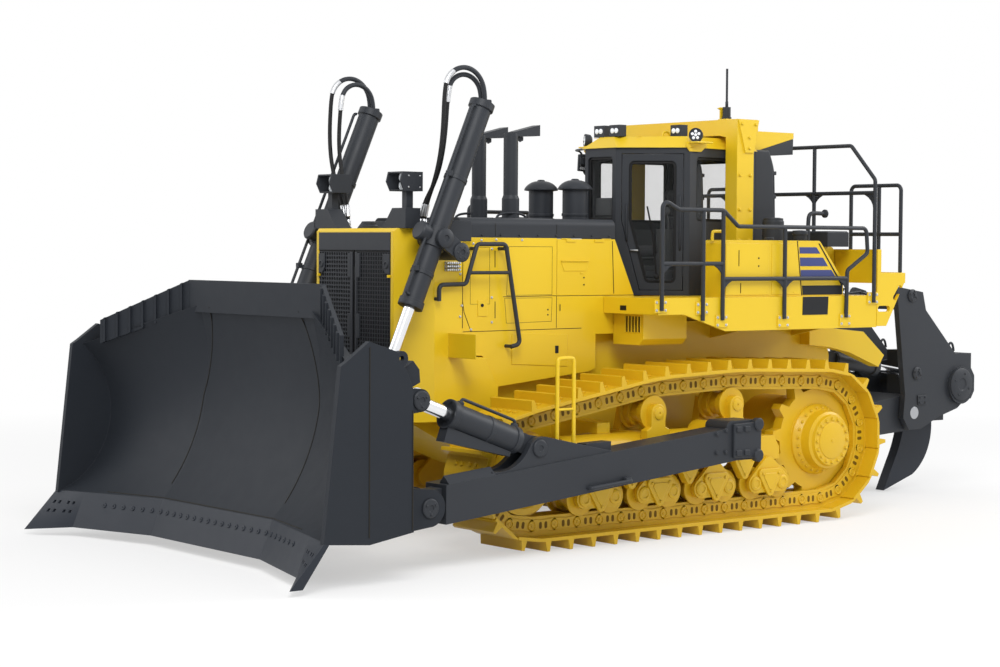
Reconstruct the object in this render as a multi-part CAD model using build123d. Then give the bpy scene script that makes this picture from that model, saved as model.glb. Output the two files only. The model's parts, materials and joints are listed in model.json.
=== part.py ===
"""Crawler bulldozer with a semi-U blade and a single-shank ripper.

Millimetres. +X points forward to the blade, +Y to the operator's left, +Z up, and z = 0 is the plane of
the grouser tips. While it is drawn, x = 0 is half way between sprocket and idler; FRAME_SHIFT then puts
the origin under the middle of the machine's box. Left-hand pieces are drawn and mirrored to the right.
"""

import math
import os

from build123d import *

# Tracks
GAUGE = 2500.0
SHOE_WIDTH = 610.0
SHOE_COUNT = 41
WHEELBASE = 3980.0
SPROCKET_R = 610.0
IDLER_R = 480.0
LINK_RISE = 100.0
LINK_DROP = 85.0
LINK_WIDTH = 60.0
LINK_SPREAD = 200.0
SHOE_PLATE = 32.0
GROUSER = 93.0
GROUSER_THICK = 34.0
SHOE_GAP = 5.0
SHOE_LIP = 60.0
SPROCKET_TEETH = 13
CARRIER_X = (-667.0, 394.0)
CARRIER_R = 140.0
CARRIER_TOP = (1395.0, 1355.0)
ROLLER_R = 135.0
ROLLER_X = (-1330.0, -950.0, -570.0, -190.0, 190.0, 570.0, 950.0, 1330.0)
SEAT_GAP = 0.3
RUN_GAP = 10.0
FRAME_TUBE_Z = 860.0
FRAME_TUBE_R = 170.0
BOGIE_RISE = 170.0
BOGIE_TUBE_R = 60.0
PIVOT_X = -1050.0
PIVOT_Z = 850.0

SPROCKET_X = -WHEELBASE / 2
IDLER_X = WHEELBASE / 2
TRACK_RISE = LINK_RISE + SHOE_PLATE + GROUSER
SPROCKET_Z = SPROCKET_R + TRACK_RISE
IDLER_Z = IDLER_R + TRACK_RISE
TRACK_Y = GAUGE / 2
TRACK_OUT = TRACK_Y + SHOE_WIDTH / 2
TRACK_IN = TRACK_Y - SHOE_WIDTH / 2
RAIL_FLOOR = TRACK_RISE + LINK_DROP

# Push arms, blade and their cylinders
ARM_Y = 1790.0
ARM_WIDTH = 300.0
ARM_DEPTH = 345.0
TRUNNION = (-345.0, 955.0)
TRUNNION_R = 95.0
TRUNNION_CAP = 205.0
LOBE_R = 62.0
LOBE_RISE = 131.0
ARM_REAR = (135.0, 190.0)
TONGUE_R = 140.0
ANGLE_RUN = (0.845, 0.99)
ANGLE_RISE = 72.0
BOX_RUN = (0.445, 0.53)
BOX_RISE = 105.0
PITCH_PIN = (3498.0, 558.0)
PIN_R = 62.0
PIN_CLEAR = 0.05
EAR_THICK = 65.0
EAR_GAP = 6.0
EAR_R = 165.0
LIFT_EAR_R = 130.0
BRACE_EAR_R = 100.0
BRACE_EYE_HALF = 60.0
LIFT_EYE_HALF = 75.0
LIFT_COLLAR_R = 122.0
YOKE_PIN_R = 45.0
YOKE_EAR = 36.0
BLADE_HALF = 2347.5
BLADE_SEAM = 950.0
BLADE_TOP = 2255.0
WING_TOP = 1842.0
MOULD_FOOT = (4470.0, 430.0)
MOULD_HEAD = 4075.0
MOULD_SAG = 265.0
WING_FOOT = (4850.0, 415.0)
WING_HEAD = 4600.0
WING_SAG = 430.0
BLADE_BACK = 3850.0
WING_BACK = 4060.0
WING_DEPTH = 560.0
END_PLATE = 55.0
EDGE_TIP = (4600.0, 93.0)
EDGE_THICK = 50.0
BIT_TIP = (5205.0, 50.0)
BIT_START = 1960.0
BIT_HOLES_Y = (2040.0, 2100.0, 2200.0, 2260.0)
BIT_HOLES_Z = (230.0, 310.0)
BIT_HOLE = 14.0
SPILL_X = 4050.0
SPILL_THICK = 35.0
SPILL_HALF = 1135.0
SPILL_FOOT = 2180.0
SPILL_TOP = 2485.0
SPILL_END = (4500.0, 2080.0)
SPILL_END_FOOT = 1850.0
SPILL_END_TOP = 2080.0
SPILL_RIBS = 7
SPILL_RIB = 22.0
LUG_EYE = (4100.0, 1888.0)
LUG_R = 64.0
LUG_HOLE_R = 24.0
LIFT_Y = 900.0
LIFT_YOKE = (2684.0, 2894.0)
LIFT_EYE = (3600.0, 800.0)
LIFT_BARREL_R = 105.0
LIFT_ROD_R = 55.0
LIFT_ABOVE = 1390.0
LIFT_BELOW = 690.0
ROD_CLEAR = 0.5
BRACE_FOOT = (2255.0, 1010.0)
BRACE_EYE = (3585.0, 1494.0)
BRACE_BARREL_R = 120.0
BRACE_ROD_R = 62.0
BRACE_BARREL = 1015.0
BRACE_NECK = 190.0
BRACE_EYE_R = 90.0
BRACE_GUARD = (160.0, 250.0)
BRACE_GUARD_RUN = (250.0, 1000.0)

# Hull, hood and radiator guard
FRAME_HALF = 560.0
FRAME_BOTTOM = 640.0
DECK_Z = 2330.0
HOOD_HALF = 700.0
HOOD_TOP = 3095.0
HOOD_BAND = 2905.0
HOOD_WALL = 40.0
HOOD_REAR = 285.0
PANEL_FOOT = 2020.0
COVER_FOOT = 2345.0
COVER_FRONT = 1035.0
COVER_SLANT = 25.0
GUARD_FRONT = 2951.0
GUARD_REAR = 2226.0
GUARD_HALF_FRONT = 636.0
GUARD_HALF = 742.0
GUARD_KNEE = 2560.0
GUARD_TOP = 2985.0
GUARD_FOOT = 1180.0
GUARD_WALL = 60.0
CORE_DEPTH = 190.0
POST_THICK = 50.0
POST_HALF = 45.0
APRON_TOP = 1790.0
APRON_KNEE = (1956.0, 1780.0)
APRON_FOOT = (1782.0, 1479.0)
STEP_X = 2392.0
STEP_REAR = 2250.0
STEP_OUT = 1160.0
STEP_Z = 1780.0
STEP_TOP = 2008.0
LOWER_REAR = (530.0, 1626.0)
GRILLE_HALF = 595.0
GRILLE_FOOT = 1320.0
GRILLE_TOP = 2782.0
GRILLE_THICK = 45.0
DOOR_GAP = 6.0
HINGE_HEIGHTS = (0.15, 0.85)
HINGE_HALF = 60.0
KNUCKLE_R = DOOR_GAP - SEAT_GAP
STACK = (1264.0, 253.0, 3930.0)
STACK_R = 72.0
STACK_FOOT_R = 86.0
STACK_TAPER = (3290.0, 3325.0)
OUTLET_RUN = 322.0
OUTLET_ROOT = (3900.0, 3945.0)
OUTLET_TIP = (3916.0, 4024.0)
OUTLET_HALF = 62.0
SHEET = 6.0
PRECLEANER = (442.0, 267.0, 3490.0)
PRECLEANER_R = 168.0
PRECLEANER_BODY = 126.0
PRECLEANER_RIM = (3395.0, 3420.0)

# Cab and roll-over frame
CAB_FRONT = -130.0
CAB_NOSE_HALF = 240.0
CAB_WAIST = -650.0
CAB_HALF = 790.0
CAB_REAR = -1750.0
CAB_REAR_HALF = 630.0
CAB_TOP = 3840.0
CAB_WALL = 60.0
CAB_FLOOR = 40.0
CAB_SILL = 760.0
ROOF_THICK = 120.0
ROOF_LIP = 20.0
ROOF_BEVEL = 90.0
TAIL_FRONT = -1545.0
TAIL_END = -2403.0
TAIL_LOW = 4000.0
TAIL_TOP = 4060.0
TAIL_HALF = 560.0
VISOR_FOOT = 3828.0
GLASS = 8.0
DOOR_POST = 60.0
DOOR_HEAD = 60.0
DOOR_FOOT = 50.0
DOOR_BORDER = 75.0
ROPS_X = (-1500.0, -1200.0)
ROPS_Y = (745.0, 915.0)
ROPS_POST = (-1440.0, -1200.0)
ROPS_TOP = 4150.0
GUSSET = 16.0
ANTENNA_Y = 603.0
ANTENNA_TOP = 4690.0
ROPS_BEAM = 165.0

# Decks, tanks and rails
DECK_OUT = 1500.0
DECK_FRONT = 430.0
DECK_LIP = 2168.0
DECK_KNEE = 88.0
DECK_STEP = -480.0
DECK_REAR = -2705.0
DECK_SKIRT = 1995.0
DECK_PLATE = 30.0
RIB_X = (-2420.0, -1200.0)
RIB_FOOT = 1880.0
RIB_HALF = 20.0
LOCKER_X = (-283.0, 300.0)
LOCKER_OUT = 1150.0
LOCKER_FOOT = 1857.0
LOCKER_BEVEL = 60.0
TANK_FRONT = -470.0
TANK_IN = 1200.0
TANK_TOP = 2900.0
TANK_SLOPE = -1855.0
TANK_REAR = -2215.0
TANK_TAIL = 2490.0
TANK_OUT = 1470.0
FUEL_REAR = -2695.0
FUEL_HALF = 900.0
FUEL_TOP = 2840.0
LOCKER2_Y = (540.0, 1190.0)
LOCKER2_TOP = 3005.0
PLATFORM_X = -3149.0
PLATFORM_Z = (2458.0, 2567.0)
PLATFORM_Y = (700.0, 1505.0)
BULKHEAD = 60.0
BULKHEAD_TOP = 2815.0
PLATFORM_WEB = 40.0
WEB_SLOT = (190.0, 62.0)
LAMP_X = (2668.0, 2900.0)
LAMP_Y = (462.0, 696.0)
LAMP_Z = (3328.0, 3508.0)
LAMP_FOOT = 3172.0
LAMP_WALL = 14.0
LAMP_DEPTH = 110.0
RAIL_R = 21.0
RAIL_BEND = 60.0
RAIL_PEAK = 3290.0
RAIL_HIGH = 3192.0
RAIL_TOP = 3035.0
RAIL_MID = 2665.0
RAIL_LOW = 2514.0
REAR_RAIL_X = -2635.0
REAR_RAIL_TOP = 3912.0
REAR_RAIL_MID = 3410.0

# Ripper
RIP_LOW = (-2850.0, 800.0)
RIP_PIN = (-4450.0, 950.0)
RIP_PIN_R = 70.0
RIP_TILT_EYE = (-4380.0, 2290.0)
RIP_LIFT_FOOT = (-2930.0, 1640.0)
RIP_LIFT_EYE = (-4480.0, 1400.0)
RIP_ARM_HALF = 460.0
RIP_PLATE_Y = 480.0
RIP_PLATE = 70.0
RIP_CYL_Y = 375.0
RIP_EYE_HALF = 45.0
RIP_BARREL_R = 85.0
RIP_ROD_R = 45.0
RIP_CYL_PIN_R = 40.0
RIP_NECK = 330.0
RIP_BARREL = 1040.0
RIP_TUBE = (-5230.0, 1240.0)
RIP_TUBE_R = 215.0
RIP_PUSH_X = -5690.0
RIP_TIP = (-4500.0, 12.0)
SHANK_HALF = 62.0
HULL_REAR = -2650.0
BRACKET_PLATE = 30.0
BRACKET_CHEEK = 55.0
BRACKET_EAR = 110.0
BRACKET_ROOT = 8.0
HORN_ROOT = -2540.0
HORN_TIP = -3745.0
HORN_OUT = 700.0
BRACKET_HALF = RIP_ARM_HALF + EAR_GAP + BRACKET_CHEEK

# Lift hoses
HOSE_R = 20.0
HOSE_SPREAD = 28.0
HOSE_LOOP_R = 230.0
HOSE_PORT = 20.0
HOSE_LOOP_TURN = 168.0
HOSE_LOOP_BENDS = 6
HOSE_INWARD = 280.0

FRAME_SHIFT = -(BIT_TIP[0] + RIP_PUSH_X) / 2
RIP_TILT_FOOT = tuple(t + a - b for t, a, b in zip(RIP_TILT_EYE, RIP_LOW, RIP_PIN))
TRUNNION_END = ARM_Y + ARM_WIDTH / 2 - 60
FRAME_TUBE_TOP = FRAME_TUBE_Z + FRAME_TUBE_R


def side(outline, y_low, y_high):
    """Prism of an outline drawn in X and Z, between two planes of Y."""
    return extrude(Plane.XZ.offset(-y_high) * outline, y_high - y_low)


def front(outline, x_low, x_high):
    """Prism of an outline drawn in Y and Z, between two planes of X."""
    return extrude(Plane.YZ.offset(x_low) * outline, x_high - x_low)


def top(outline, z_low, z_high):
    """Prism of an outline drawn in X and Y, between two planes of Z."""
    return extrude(Plane.XY.offset(z_low) * outline, z_high - z_low)


def shape(*points, round_by=0.0):
    """Closed outline through points, with its corners rounded where asked."""
    face = make_face(Polyline(*points, close=True))
    return fillet(face.vertices(), round_by) if round_by else face


def block(x, y, z):
    """Box between pairs of coordinates."""
    size = Box(x[1] - x[0], y[1] - y[0], z[1] - z[0])
    return Pos((x[0] + x[1]) / 2, (y[0] + y[1]) / 2, (z[0] + z[1]) / 2) * size


def disc(x, z, radius, y_low, y_high):
    """Round bar along Y."""
    return side(Pos(x, z) * Circle(radius), y_low, y_high)


def rod(start, end, radius):
    """Round bar between two points in space."""
    run = Vector(*end) - Vector(*start)
    return extrude(Plane(origin=start, z_dir=run) * Circle(radius), run.length)


def rail(points, bend, radius=RAIL_R):
    """Bent round tube, drawn as a solid bar."""
    path = FilletPolyline(*points, radius=bend)
    return sweep(Plane(origin=path @ 0, z_dir=path % 0) * Circle(radius), path)


def mirrored(piece):
    return mirror(piece, about=Plane.XZ)


def both(piece):
    """A left-hand piece and its right-hand twin."""
    return Compound(children=[Part(piece.wrapped), Part(mirrored(piece).wrapped)])


def along(start, end, distance, offset=0.0):
    """Point in X and Z on the line from start towards end, and offset to the left of it."""
    length = math.dist(start, end)
    u = ((end[0] - start[0]) / length, (end[1] - start[1]) / length)
    return (start[0] + u[0] * distance - u[1] * offset, start[1] + u[1] * distance + u[0] * offset)


def ring(spot, radius):
    """Full circle, for use in a hull."""
    return CenterArc(spot, radius, 0, 360).edge()


def strap(start, end, half):
    """Outline of a link with round ends about two points in X and Z."""
    return make_hull([ring(start, half), ring(end, half)])


def lerp(start, end, share):
    """Point a share of the way from one point to another."""
    return tuple(a + (b - a) * share for a, b in zip(start, end))


# Undercarriage


def pin_points():
    """Pins of the chain, spaced evenly on the hull of the circles that the chain runs round."""
    circles = [CenterArc((SPROCKET_X, SPROCKET_Z), SPROCKET_R, 0, 360)]
    circles += [CenterArc((IDLER_X, IDLER_Z), IDLER_R, 0, 360)]
    for x, z in zip(CARRIER_X, CARRIER_TOP):
        circles.append(CenterArc((x, z - CARRIER_R), CARRIER_R + LINK_DROP + RUN_GAP, 0, 360))
    line = make_hull([circle.edge() for circle in circles]).wire()
    return [line.position_at(index / SHOE_COUNT) for index in range(SHOE_COUNT)]


def track():
    """Chain rails with a shoe and its grouser on every link."""
    pins = pin_points()
    loop = make_face(Polyline(*[(pin.X, pin.Y) for pin in pins], close=True))
    band = offset(loop, LINK_RISE, kind=Kind.INTERSECTION) - offset(loop, -LINK_DROP,
                                                                    kind=Kind.INTERSECTION)
    rails = []
    for middle in (TRACK_Y - LINK_SPREAD / 2, TRACK_Y + LINK_SPREAD / 2):
        rails.append(side(band, middle - LINK_WIDTH / 2, middle + LINK_WIDTH / 2))
    shoes = []
    for start, end in zip(pins, pins[1:] + pins[:1]):
        run = Vector(end.X - start.X, 0, end.Y - start.Y)
        half = run.length / 2 - SHOE_GAP / 2
        middle = Vector((start.X + end.X) / 2, TRACK_Y, (start.Y + end.Y) / 2)
        away = Vector(0, 1, 0).cross(run).normalized()
        if away.dot(middle - Vector(0, TRACK_Y, SPROCKET_Z)) < 0:
            away = away * -1
        seat = Plane(origin=middle + away * LINK_RISE, x_dir=run, z_dir=run.cross(away))
        ridge = half - 2 * GROUSER_THICK
        outline = shape(
            (-half - SHOE_LIP, 0),
            (half, 0),
            (half, SHOE_PLATE),
            (ridge + GROUSER_THICK, SHOE_PLATE),
            (ridge + GROUSER_THICK / 2, SHOE_PLATE + GROUSER),
            (ridge - GROUSER_THICK / 2, SHOE_PLATE + GROUSER),
            (ridge - GROUSER_THICK, SHOE_PLATE),
            (-half, SHOE_PLATE),
            (-half - SHOE_LIP, SHOE_PLATE / 2),
        )
        shoes.append(extrude(seat * outline, SHOE_WIDTH / 2, both=True))
    return rails[0].fuse(rails[1], *shoes)


def chain_seat(radius):
    """Radius of a wheel that touches the flat rails of links whose pins lie on a circle."""
    pins = pin_points()
    half = math.dist((pins[0].X, pins[0].Y), (pins[1].X, pins[1].Y)) / 2
    return math.sqrt(radius**2 - half**2) - LINK_DROP - SEAT_GAP


def wheel(x, z, profile):
    """Wheel turned about an axle along Y from (y, radius) points."""
    outline = make_face(Polyline(*profile, close=True))
    plane = Plane(origin=(x, 0, z), x_dir=(0, 1, 0), z_dir=(1, 0, 0))
    return revolve(plane * outline, Axis((x, 0, z), (0, 1, 0)))


def sprocket():
    """Toothed ring bolted round the stepped final drive case."""
    root = SPROCKET_R - LINK_DROP
    tooth = shape((-70, 0), (70, 0), (32, LINK_DROP + 30), (-32, LINK_DROP + 30))
    ring = Circle(root)
    for turn in range(SPROCKET_TEETH):
        ring += Rot(0, 0, turn * 360 / SPROCKET_TEETH) * Pos(0, root - 12) * tooth
    half = LINK_SPREAD / 2 - LINK_WIDTH / 2 - RUN_GAP
    ring = side(Pos(SPROCKET_X, SPROCKET_Z) * ring, TRACK_Y - half, TRACK_Y + half)
    case = [
        (FRAME_HALF, 0),
        (FRAME_HALF, 430),
        (TRACK_IN - 60, 430),
        (TRACK_IN + 60, 400),
        (TRACK_Y + 85, 365),
        (TRACK_Y + 110, 345),
        (TRACK_Y + 150, 308),
        (TRACK_OUT - 55, 296),
        (TRACK_OUT - 40, 268),
        (TRACK_OUT - 5, 258),
        (TRACK_OUT - 5, 0),
    ]
    return ring + wheel(SPROCKET_X, SPROCKET_Z, case)


def idler():
    """Front wheel with a guide rim between the rails, on its axle."""
    tread = chain_seat(IDLER_R)
    inner = LINK_SPREAD / 2 - LINK_WIDTH / 2 - RUN_GAP
    outer = LINK_SPREAD / 2 + LINK_WIDTH / 2
    profile = [
        (TRACK_Y - 235, 0),
        (TRACK_Y - 235, 70),
        (TRACK_Y - 158, 70),
        (TRACK_Y - 158, 110),
        (TRACK_Y - outer + 45, 240),
        (TRACK_Y - outer, tread - 60),
        (TRACK_Y - outer, tread),
        (TRACK_Y - inner, tread),
        (TRACK_Y - inner, tread + 45),
        (TRACK_Y + inner, tread + 45),
        (TRACK_Y + inner, tread),
        (TRACK_Y + outer, tread),
        (TRACK_Y + outer, tread - 60),
        (TRACK_Y + outer - 45, 240),
        (TRACK_Y + 158, 110),
        (TRACK_Y + 158, 70),
        (TRACK_Y + 235, 70),
        (TRACK_Y + 235, 0),
    ]
    return wheel(IDLER_X, IDLER_Z, profile)


def roller(x, z, radius):
    """Flanged roller with its end collars."""
    inner = LINK_SPREAD / 2 - LINK_WIDTH / 2 - RUN_GAP
    outer = LINK_SPREAD / 2 + LINK_WIDTH / 2 + RUN_GAP
    profile = [
        (TRACK_Y - 200, 0),
        (TRACK_Y - 200, 80),
        (TRACK_Y - outer - 20, 80),
        (TRACK_Y - outer - 20, radius + 30),
        (TRACK_Y - outer, radius + 30),
        (TRACK_Y - outer, radius),
        (TRACK_Y - inner, radius),
        (TRACK_Y - inner, radius - 30),
        (TRACK_Y + inner, radius - 30),
        (TRACK_Y + inner, radius),
        (TRACK_Y + outer, radius),
        (TRACK_Y + outer, radius + 30),
        (TRACK_Y + outer + 20, radius + 30),
        (TRACK_Y + outer + 20, 80),
        (TRACK_Y + 200, 80),
        (TRACK_Y + 200, 0),
    ]
    return wheel(x, z, profile)


def bogies():
    """Pairs of bottom rollers, each pair on a rocking arm with rounded three-cornered cheeks."""
    roller_z = RAIL_FLOOR + ROLLER_R + SEAT_GAP
    pivot_z = roller_z + BOGIE_RISE
    sets = []
    for rear, ahead in zip(ROLLER_X[0::2], ROLLER_X[1::2]):
        middle = (rear + ahead) / 2
        circles = [ring((x, roller_z), 95) for x in (rear, ahead)]
        cheek = make_hull(circles + [ring((middle, pivot_z), 95)])
        group = roller(rear, roller_z, ROLLER_R) + roller(ahead, roller_z, ROLLER_R)
        for low in (TRACK_Y - 230, TRACK_Y + 190):
            group += side(cheek, low, low + 40)
        group += disc(middle, pivot_z, BOGIE_TUBE_R, TRACK_Y - 230, TRACK_Y + 230)
        sets.append(group)
    return sets


def carrier_rollers():
    """Two top rollers, each on an arm that stands on the track frame."""
    sets = []
    for x, height in zip(CARRIER_X, CARRIER_TOP):
        z = height - CARRIER_R
        wheel_piece = roller(x, z, CARRIER_R)
        post = side(shape((x - 130, FRAME_TUBE_TOP), (x + 130, FRAME_TUBE_TOP), (x + 75, z + 60),
                          (x - 75, z + 60)),
                    TRACK_Y - 290, TRACK_Y - 195)
        sets.append(wheel_piece + post)
    return sets


def track_frame():
    """Roller frame: a box beam, the round recoil housing and the fork that holds the idler."""
    half = 180.0
    foot = RAIL_FLOOR + ROLLER_R + BOGIE_RISE + BOGIE_TUBE_R + 2 * SEAT_GAP
    beam = side(
        shape((-1330, foot), (1420, foot), (1480, foot + 60), (1480, FRAME_TUBE_Z + 60),
              (-1250, FRAME_TUBE_Z + 60),
              (-1330, FRAME_TUBE_Z - 60)),
        TRACK_Y - half, TRACK_Y + half)
    housing = rod((-900, TRACK_Y, FRAME_TUBE_Z), (1500, TRACK_Y, FRAME_TUBE_Z), FRAME_TUBE_R)
    frame = beam + housing
    for low in (TRACK_Y - 235, TRACK_Y + 165):
        arm = side(shape((1400, foot), (IDLER_X, IDLER_Z - 90), (IDLER_X, IDLER_Z + 90),
                         (1400, FRAME_TUBE_Z + 60)),
                   low, low + 70)
        boss = disc(IDLER_X, IDLER_Z, 110, low, low + 70)
        frame += arm + boss
    frame -= disc(IDLER_X, IDLER_Z, 70 + PIN_CLEAR, TRACK_Y - 240, TRACK_Y + 240)
    frame += disc(TRUNNION[0], TRUNNION[1], TRUNNION_R + 60, TRACK_Y, TRACK_OUT + 40)
    frame += disc(TRUNNION[0], TRUNNION[1], TRUNNION_R, TRACK_Y, ARM_Y + ARM_WIDTH / 2 - 60)
    for x in CARRIER_X:
        frame += block((x - 150, x + 150), (TRACK_Y - 300, TRACK_Y), (FRAME_TUBE_TOP - 140, FRAME_TUBE_TOP))
    frame += disc(PIVOT_X, PIVOT_Z, 150, TRACK_IN - 20, TRACK_Y)
    return frame


def main_frame():
    """Welded hull with its steering case, the pivot shaft and the equaliser bar."""
    hull = side(
        shape((-2650, 820), (-2300, FRAME_BOTTOM), (1500, FRAME_BOTTOM), (2350, 980),
              (GUARD_REAR + 500, GUARD_FOOT),
              (GUARD_REAR, GUARD_FOOT), (GUARD_REAR, PANEL_FOOT - 60), (HOOD_REAR, PANEL_FOOT - 60),
              (HOOD_REAR - 300, 2060), (-2500, 2060), (-2650, 1900)),
        -FRAME_HALF, FRAME_HALF)
    shaft = disc(PIVOT_X, PIVOT_Z, 130, -(TRACK_IN - 20 - SEAT_GAP), TRACK_IN - 20 - SEAT_GAP)
    bar = front(
        shape((-TRACK_Y, FRAME_TUBE_TOP + SEAT_GAP), (-TRACK_Y + 120, FRAME_TUBE_TOP + SEAT_GAP),
              (-300, 900), (300, 900),
              (TRACK_Y - 120, FRAME_TUBE_TOP + SEAT_GAP), (TRACK_Y, FRAME_TUBE_TOP + SEAT_GAP),
              (TRACK_Y, 1130),
              (300, 1170), (-300, 1170), (-TRACK_Y, 1130)),
        820, 980)
    return hull + shaft + bar


# Blade


def blade_profile(foot, head_x, head_z, sag, back):
    """Section of the blade: a hollow front curve, closed behind by a straight box."""
    middle = ((foot[0] + head_x) / 2 - sag, (foot[1] + head_z) / 2)
    curve = ThreePointArc(foot, middle, (head_x, head_z))
    closing = Polyline((head_x, head_z), (head_x - 90, head_z), (back, head_z - 480), (back, foot[1] + 230),
                       (foot[0] - 240, foot[1] - 40), foot)
    return make_face([curve, closing])


def ear(center, reach_x, half, y_low, y_high):
    """Lug with a round end about a point, running back to a plane of X."""
    circle = Pos(*center) * Circle(half)
    web = shape((center[0], center[1] - half), (reach_x, center[1] - half - 60),
                (reach_x, center[1] + half + 60),
                (center[0], center[1] + half))
    return side(circle + web, y_low, y_high)


def upright(start, end, foot, head, thick):
    """Upright plate on a line in plan, with its own foot and head heights at the two ends."""
    run = Vector(end[0] - start[0], end[1] - start[1], 0)
    plane = Plane(origin=(*start, 0), x_dir=run, z_dir=run.cross(Vector(0, 0, 1)))
    return extrude(plane * shape((0, foot[0]), (run.length, foot[1]), (run.length, head[1]), (0, head[0])),
                   thick)


def spill_guard():
    """Left half of the guard on the blade's head: a flat centre plate and a ribbed plate on the wing."""
    centre = side(shape((SPILL_X, SPILL_FOOT), (SPILL_X + SPILL_THICK, SPILL_FOOT),
                        (SPILL_X + SPILL_THICK, SPILL_TOP),
                        (SPILL_X, SPILL_TOP)), 0, SPILL_HALF)
    start, foot, head = (SPILL_X, SPILL_HALF), (SPILL_FOOT, SPILL_END_FOOT), (SPILL_TOP, SPILL_END_TOP)
    guard = centre + upright(start, SPILL_END, foot, head, SPILL_THICK)
    width = SPILL_RIB / math.dist(start, SPILL_END)
    for number in range(SPILL_RIBS):
        low = (number + 0.5) / SPILL_RIBS
        ends = [lerp(start, SPILL_END, share) for share in (low, low + width)]
        feet, heads = ([a + (b - a) * share for share in (low, low + width)] for a, b in (foot, head))
        guard += upright(*ends, feet, heads, SPILL_THICK + SPILL_RIB)
    return guard


def end_plate():
    """Left end plate of the blade with its lifting eye and the hooked tab behind it."""
    outline = shape(
        (WING_FOOT[0] + 22, WING_FOOT[1] - 18),
        (WING_HEAD + 110, WING_TOP),
        (WING_HEAD + 45, WING_TOP + 41),
        (WING_HEAD - 170, WING_TOP + 195),
        (LUG_EYE[0] + 50, LUG_EYE[1] + 60),
        (LUG_EYE[0] - 45, LUG_EYE[1] - 93),
        (WING_HEAD - 615, WING_TOP - 200),
        (WING_HEAD - 630, WING_FOOT[1] + 17),
        (WING_HEAD - 180, WING_FOOT[1] - 55),
    )
    outline += Pos(*LUG_EYE) * Circle(LUG_R)
    inner = BLADE_HALF - END_PLATE
    plate = side(outline - Pos(*LUG_EYE) * Circle(LUG_HOLE_R), inner, BLADE_HALF)
    eye_x, eye_z = LUG_EYE
    hook = shape((eye_x - 40, eye_z - 98), (eye_x - 156, eye_z - 25), (eye_x - 220, eye_z - 99),
                 (eye_x - 229, eye_z - 208),
                 (eye_x - 135, eye_z - 250), (eye_x - 40, eye_z - 188))
    return plate + side(hook, inner - 2 * END_PLATE, inner + 1)


def blade():
    """Semi-U mouldboard on a box back, with end plates, spill guard and lugs."""
    centre = blade_profile(MOULD_FOOT, MOULD_HEAD, BLADE_TOP, MOULD_SAG, BLADE_BACK)
    wing_end = blade_profile(WING_FOOT, WING_HEAD, WING_TOP, WING_SAG, WING_HEAD - WING_DEPTH)
    body = side(centre, -BLADE_SEAM, BLADE_SEAM)
    wing = loft([Plane.XZ.offset(-BLADE_SEAM) * centre,
                 Plane.XZ.offset(END_PLATE - BLADE_HALF) * wing_end], ruled=True)
    low, high = ARM_Y - ARM_WIDTH / 2, ARM_Y + ARM_WIDTH / 2
    lugs = ear(PITCH_PIN, WING_BACK, EAR_R, low, low + EAR_THICK)
    lugs += ear(PITCH_PIN, WING_BACK, EAR_R, high - EAR_THICK, high)
    lugs += disc(*PITCH_PIN, PIN_R, low, high)
    half_eye = LIFT_EYE_HALF + EAR_GAP
    for low in (LIFT_Y - half_eye - EAR_THICK, LIFT_Y + half_eye):
        lugs += ear(LIFT_EYE, BLADE_BACK + EAR_THICK, LIFT_EAR_R, low, low + EAR_THICK)
    half_brace = BRACE_EYE_HALF + EAR_GAP
    for low in (ARM_Y - half_brace - EAR_THICK, ARM_Y + half_brace):
        lugs += ear(BRACE_EYE, WING_BACK + EAR_THICK, BRACE_EAR_R, low, low + EAR_THICK)
    half_blade = wing + end_plate() + spill_guard() + lugs
    return body + half_blade + mirrored(half_blade)


def edge_section(share, foot_end, tip_end):
    """Section of the bolted edge, a share of the way along the wing."""
    foot = lerp(MOULD_FOOT, foot_end, share)
    tip = lerp(EDGE_TIP, tip_end, share)
    slope = 40 / 240
    return shape(foot, (foot[0] - EDGE_THICK, foot[1] - EDGE_THICK * slope), (tip[0] - EDGE_THICK, tip[1]),
                 tip)


def cutting_edges(body):
    """Bolted edge plates along the foot of the mouldboard and a pointed bit at each end."""
    wing_end = BLADE_HALF - END_PLATE
    wing_tip = (WING_FOOT[0] + EDGE_TIP[0] - MOULD_FOOT[0], EDGE_TIP[1] - 10)
    stations = (0.0, (BIT_START - BLADE_SEAM) / (wing_end - BLADE_SEAM), 1.0)
    sections = []
    for share in stations[:2]:
        y = BLADE_SEAM + share * (wing_end - BLADE_SEAM)
        sections.append(Plane.XZ.offset(-y) * edge_section(share, WING_FOOT, wing_tip))
    edge = loft(sections, ruled=True)
    bit_end = shape(
        (WING_FOOT[0] + 10, WING_FOOT[1]),
        (WING_FOOT[0] + 10 - EDGE_THICK, WING_FOOT[1] - EDGE_THICK / 6),
        (BIT_TIP[0] - 130, BIT_TIP[1]),
        BIT_TIP,
    )
    bit = loft([sections[1], Plane.XZ.offset(-BLADE_HALF) * bit_end], ruled=True) - body
    for y in BIT_HOLES_Y:
        for z in BIT_HOLES_Z:
            bit -= block((WING_FOOT[0] - EDGE_THICK, BIT_TIP[0]), (y - BIT_HOLE, y + BIT_HOLE),
                         (z - BIT_HOLE, z + BIT_HOLE))
    centre = side(edge_section(0.0, WING_FOOT, wing_tip), -BLADE_SEAM, BLADE_SEAM)
    half = edge + bit
    return centre + half + mirrored(half)


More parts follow.
